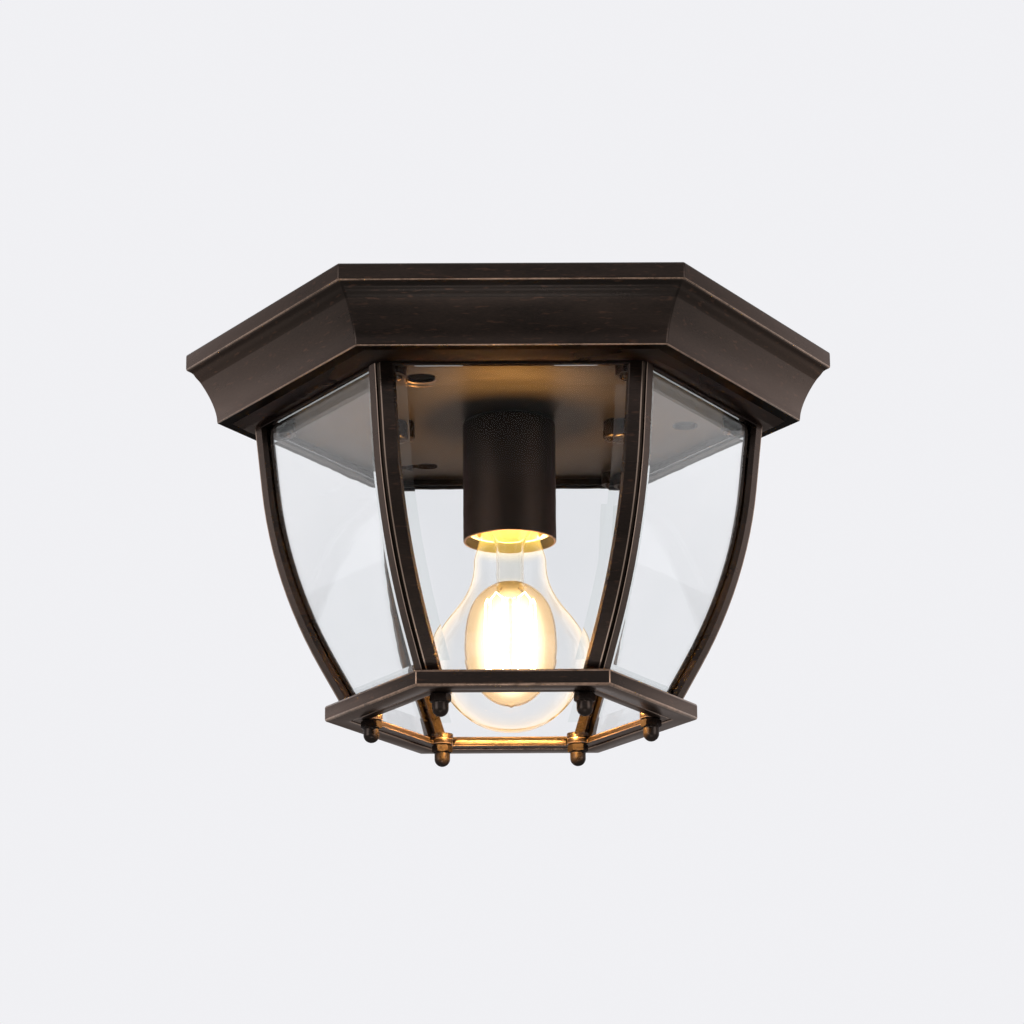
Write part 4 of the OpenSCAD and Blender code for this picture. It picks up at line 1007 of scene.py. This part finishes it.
def makeFilament(s):
    # one wire, up and down round the stem, with each strand bowed out a little and hooked at its ends
    points = []
    steps = 12
    heights = [s.low + (s.high - s.low) * t / steps for t in range(steps + 1)]
    for i in range(s.strands):
        for t, height in enumerate(heights[::-1] if i % 2 else heights):
            hook = {0: -0.5, steps: 0.5}.get(t, 0)  # the ends reach half way to the next strands
            bulge = s.radius + s.bow * math.sin(math.pi * t / steps)
            points.append((*polar(bulge, 360 * (i + hook) / s.strands), height))
    curve = bpy.data.curves.new("strands", "CURVE")
    curve.dimensions = "3D"
    spline = curve.splines.new("POLY")
    spline.points.add(len(points) - 1)
    for point, place in zip(spline.points, points):
        point.co = (*[c * mm for c in place], 1)
    curve.bevel_depth = s.wire / 2 * mm
    curve.bevel_resolution = 3
    curve.use_fill_caps = True
    pick(addObject("strands", curve))
    bpy.ops.object.convert(target="MESH")
    return named(bpy.context.object, "filamentStrands")


dress(makeFilament(sizes(**filamentSize)), ["filament"], "lamp", "filament", angle=60)
softCopies("lamp", (
    ("filament_supports", "supportWires", "wireSteel", "support_wire", 0.05, 60),
    ("lamp_cap", "screwCap", "capBrass", "cap_brass", 0.1, 60, 60),
    ("cap_insulator", "capInsulator", "blackGlass", "black_glass", 0.3),
    ("tip_contact", "capTip", "solder", "solder", 0.2, 30),
))
print("lamp made")


# hardware above the canopy's floor

softCopies("fixture", (
    ("crossbar", "crossbar", "zinc", "zinc_steel", 0.3),
    ("mounting_studs", "mountingStuds", "zincThread", "zinc_steel", 0.35),
    ("stud_lock_nuts", "studNuts", "zinc", "zinc_steel", 0.3),
    ("rib_foot_studs", "footStuds", "zincThread", "zinc_steel", 0.3),
    ("ground_screws", "groundScrews", "greenSteel", "green_steel", 0.25),
    ("ground_lead", "groundLead", "greenJacket", "green_insulation", 0.05, 80),
    ("live_lead", "liveLead", "blackJacket", "black_insulation", 0.05, 80),
    ("neutral_lead", "neutralLead", "whiteJacket", "white_insulation", 0.05, 80),
    ("canopy_gasket", "foamGasket", "foam", "gasket_foam", 0.3),
))

connectorSize = {"out": 1.7, "run": 26, "z": -14.5, "length": 20, "width": 12, "bore": 1.4, "sink": 6,
                 "ribs": 14, "ribDeep": 0.45}


def makeConnectors(s):
    # a tapered cap with grip ribs, drawn upright and then laid along Y
    r, small = s.width / 2, s.width / 3
    points = [(s.bore, 0), (r - 0.3, 0), (r, 0.3), (r, 4.6), (r - 0.3, 5)]
    points += [(r - 0.3 - (r - small - 0.3) * t / 8, 5 + (s.length - 7) * t / 8) for t in range(1, 9)]
    points += [(small - 0.35, s.length - 1), (small - 1.2, s.length - 0.15), (small - 2, s.length),
               (0, s.length), (0, s.sink), (s.bore, s.sink)]
    cap = spinOutline("connector", points, s.ribs * 4)
    for vertex in cap.data.vertices:
        around = math.atan2(vertex.co.y, vertex.co.x) * s.ribs / math.tau
        if 5.5 * mm < vertex.co.z < (s.length - 2.4) * mm and vertex.co.xy.length > 2.5 * mm:
            if abs(around - round(around)) > 0.3:
                vertex.co.xy = vertex.co.xy * (1 - s.ribDeep * mm / vertex.co.xy.length)
    along = s.out + s.run - s.sink
    return repeated(cap, "wireConnectors",
                    [moved(0, side * along, s.z) @ turned(-side * 90, "X") for side in (-1, 1)])


dress(makeConnectors(sizes(**connectorSize)), ["connector"], "fixture", "wire_connectors",
      angle=25)
print("ceiling hardware made")


# stage and light

stageLook = {"floorZ": -1.05, "floorColour": (0.62, 0.62, 0.62), "pale": 0.875, "blueShare": 1.03, "soft": 0.45}


def makeFloor(s):
    clearSelection()
    bpy.ops.mesh.primitive_plane_add(size=24, location=(0, 0, s.floorZ))
    floor = named(bpy.context.object, "floor")
    material, tree, shader, place, out = newMaterial("floorPaint")
    noise = addNode(tree, "TexNoise", -300, 0)
    fill(noise, "Scale", 3)
    tint = addBlend(tree, 0, 0, first=s.floorColour, second=[c * 1.02 for c in s.floorColour])
    wire(tree, (place, 0, noise, "Vector"), (noise, 0, tint, 0), (tint, 2, shader, "Base Color"))
    fill(shader, "Roughness", 0.9)
    clearWhere(tree, shader, out, "NewGeometry", "Backfacing")
    floor.data.materials.append(material)


def makeCeilingShadeBoard():
    # stands for the ceiling over the canopy and paints the shade seen through the canopy's holes: dark from below,
    # unseen from above and by light
    clearSelection()
    bpy.ops.mesh.primitive_circle_add(vertices=6, radius=0.118, fill_type="NGON", location=(0, 0, 0.0005),
                                      rotation=(math.radians(180), 0, math.radians(30)))
    board = asMade("ceilingShadeBoard")
    material, tree, shader, _, out = newMaterial("ceilingShade")
    fill(shader, "Base Color", (0.1, 0.1, 0.1, 1))
    fill(shader, "Roughness", 1)
    clearWhere(tree, shader, out, "NewGeometry", "Backfacing")
    board.data.materials.append(material)
    board.visible_shadow = False
    board.visible_diffuse = False


def makeWorld(s):
    world = bpy.data.worlds.new("paleRoom")
    scene.world = world
    world.use_nodes = True
    tree = world.node_tree
    tree.nodes.clear()
    out = addNode(tree, "OutputWorld", 600, 0)
    seen = addNode(tree, "Background", 100, 150)
    fill(seen, 0, (s.pale, s.pale, s.pale * s.blueShare, 1))
    light = addNode(tree, "Background", 100, -150)
    fill(light, 0, (1, 1, 1, 1))
    fill(light, 1, s.soft)
    lightPath = addNode(tree, "LightPath", -600, 300)
    either = addMath(tree, -350, 300, "MAXIMUM")
    any3 = addMath(tree, -150, 300, "MAXIMUM")
    choose = addNode(tree, "MixShader", 350, 0)
    wire(tree, (lightPath, "Is Camera Ray", either, 0), (lightPath, "Is Glossy Ray", either, 1),
         (either, 0, any3, 0), (lightPath, "Is Transmission Ray", any3, 1), (any3, 0, choose, 0),
         (light, 0, choose, 1), (seen, 0, choose, 2), (choose, 0, out, 0))


lampUsual = {"aim": (0, 0, -0.08), "size": (1.8, 1.8)}
lamps = {
    "leftBox": {"place": (-2.4, -1.6, 0.3), "power": 38},
    "rightBox": {"place": (2.4, -1.8, 0.1), "power": 34},
    "leftBack": {"place": (-2.4, 1.5, -0.3), "power": 8},
    "rightBack": {"place": (2.4, 1.5, -0.3), "power": 8},
    "topBox": {"place": (0, 0.3, 2.6), "aim": (0, 0, 0), "size": (2.4, 2.4), "power": 30},
    "lowFront": {"place": (0, -0.88, -1.03), "aim": (0, 0, -0.03), "size": (0.5, 0.05), "power": 1.5},
}
# the filament's own light, which is weak close by and fades out where the cage ends
filamentGlow = {"power": 13, "colour": (1.0, 0.74, 0.4), "radius": 0.01, "z": -0.1155, "near": (0.036, 0.06),
                "fade": (0.081, 0.128)}


def makeLamps():
    for name, look in lamps.items():
        look = {**lampUsual, **look}
        data = bpy.data.lights.new(name, "AREA")
        data.shape = "RECTANGLE"
        data.size, data.size_y = look["size"]
        data.energy = look["power"]
        light = addObject(name, data)
        light.location = look["place"]
        away = Vector(look["place"]) - Vector(look["aim"])
        light.rotation_euler = away.to_track_quat("Z", "Y").to_euler()
    glow = filamentGlow
    data = bpy.data.lights.new("filamentLight", "POINT")
    data.energy = glow["power"]
    data.color = glow["colour"]
    data.shadow_soft_size = glow["radius"]
    data.use_nodes = True
    tree = data.node_tree
    tree.nodes.clear()
    out = addNode(tree, "OutputLight", 500, 0)
    shine = addNode(tree, "Emission", 250, 0)
    fade = addStep(tree, 0, 0, glow["fade"])
    fillSpan(fade, "To", (1, 0))
    lightPath = addNode(tree, "LightPath", -250, 0)
    near = addStep(tree, 0, -300, glow["near"])
    both = addMath(tree, 130, -150, "MULTIPLY")
    wire(tree, (lightPath, "Ray Length", fade, "Value"), (lightPath, "Ray Length", near, "Value"),
         (fade, 0, both, 0), (near, 0, both, 1), (both, 0, shine, "Strength"), (shine, 0, out, 0))
    light = addObject("filamentLight", data)
    light.location = (0, 0, glow["z"])
    light.visible_camera = False
    light.visible_transmission = False


makeFloor(sizes(**stageLook))
makeCeilingShadeBoard()
makeWorld(sizes(**stageLook))
makeLamps()
scene.view_settings.view_transform = "Standard"
print("stage lit")
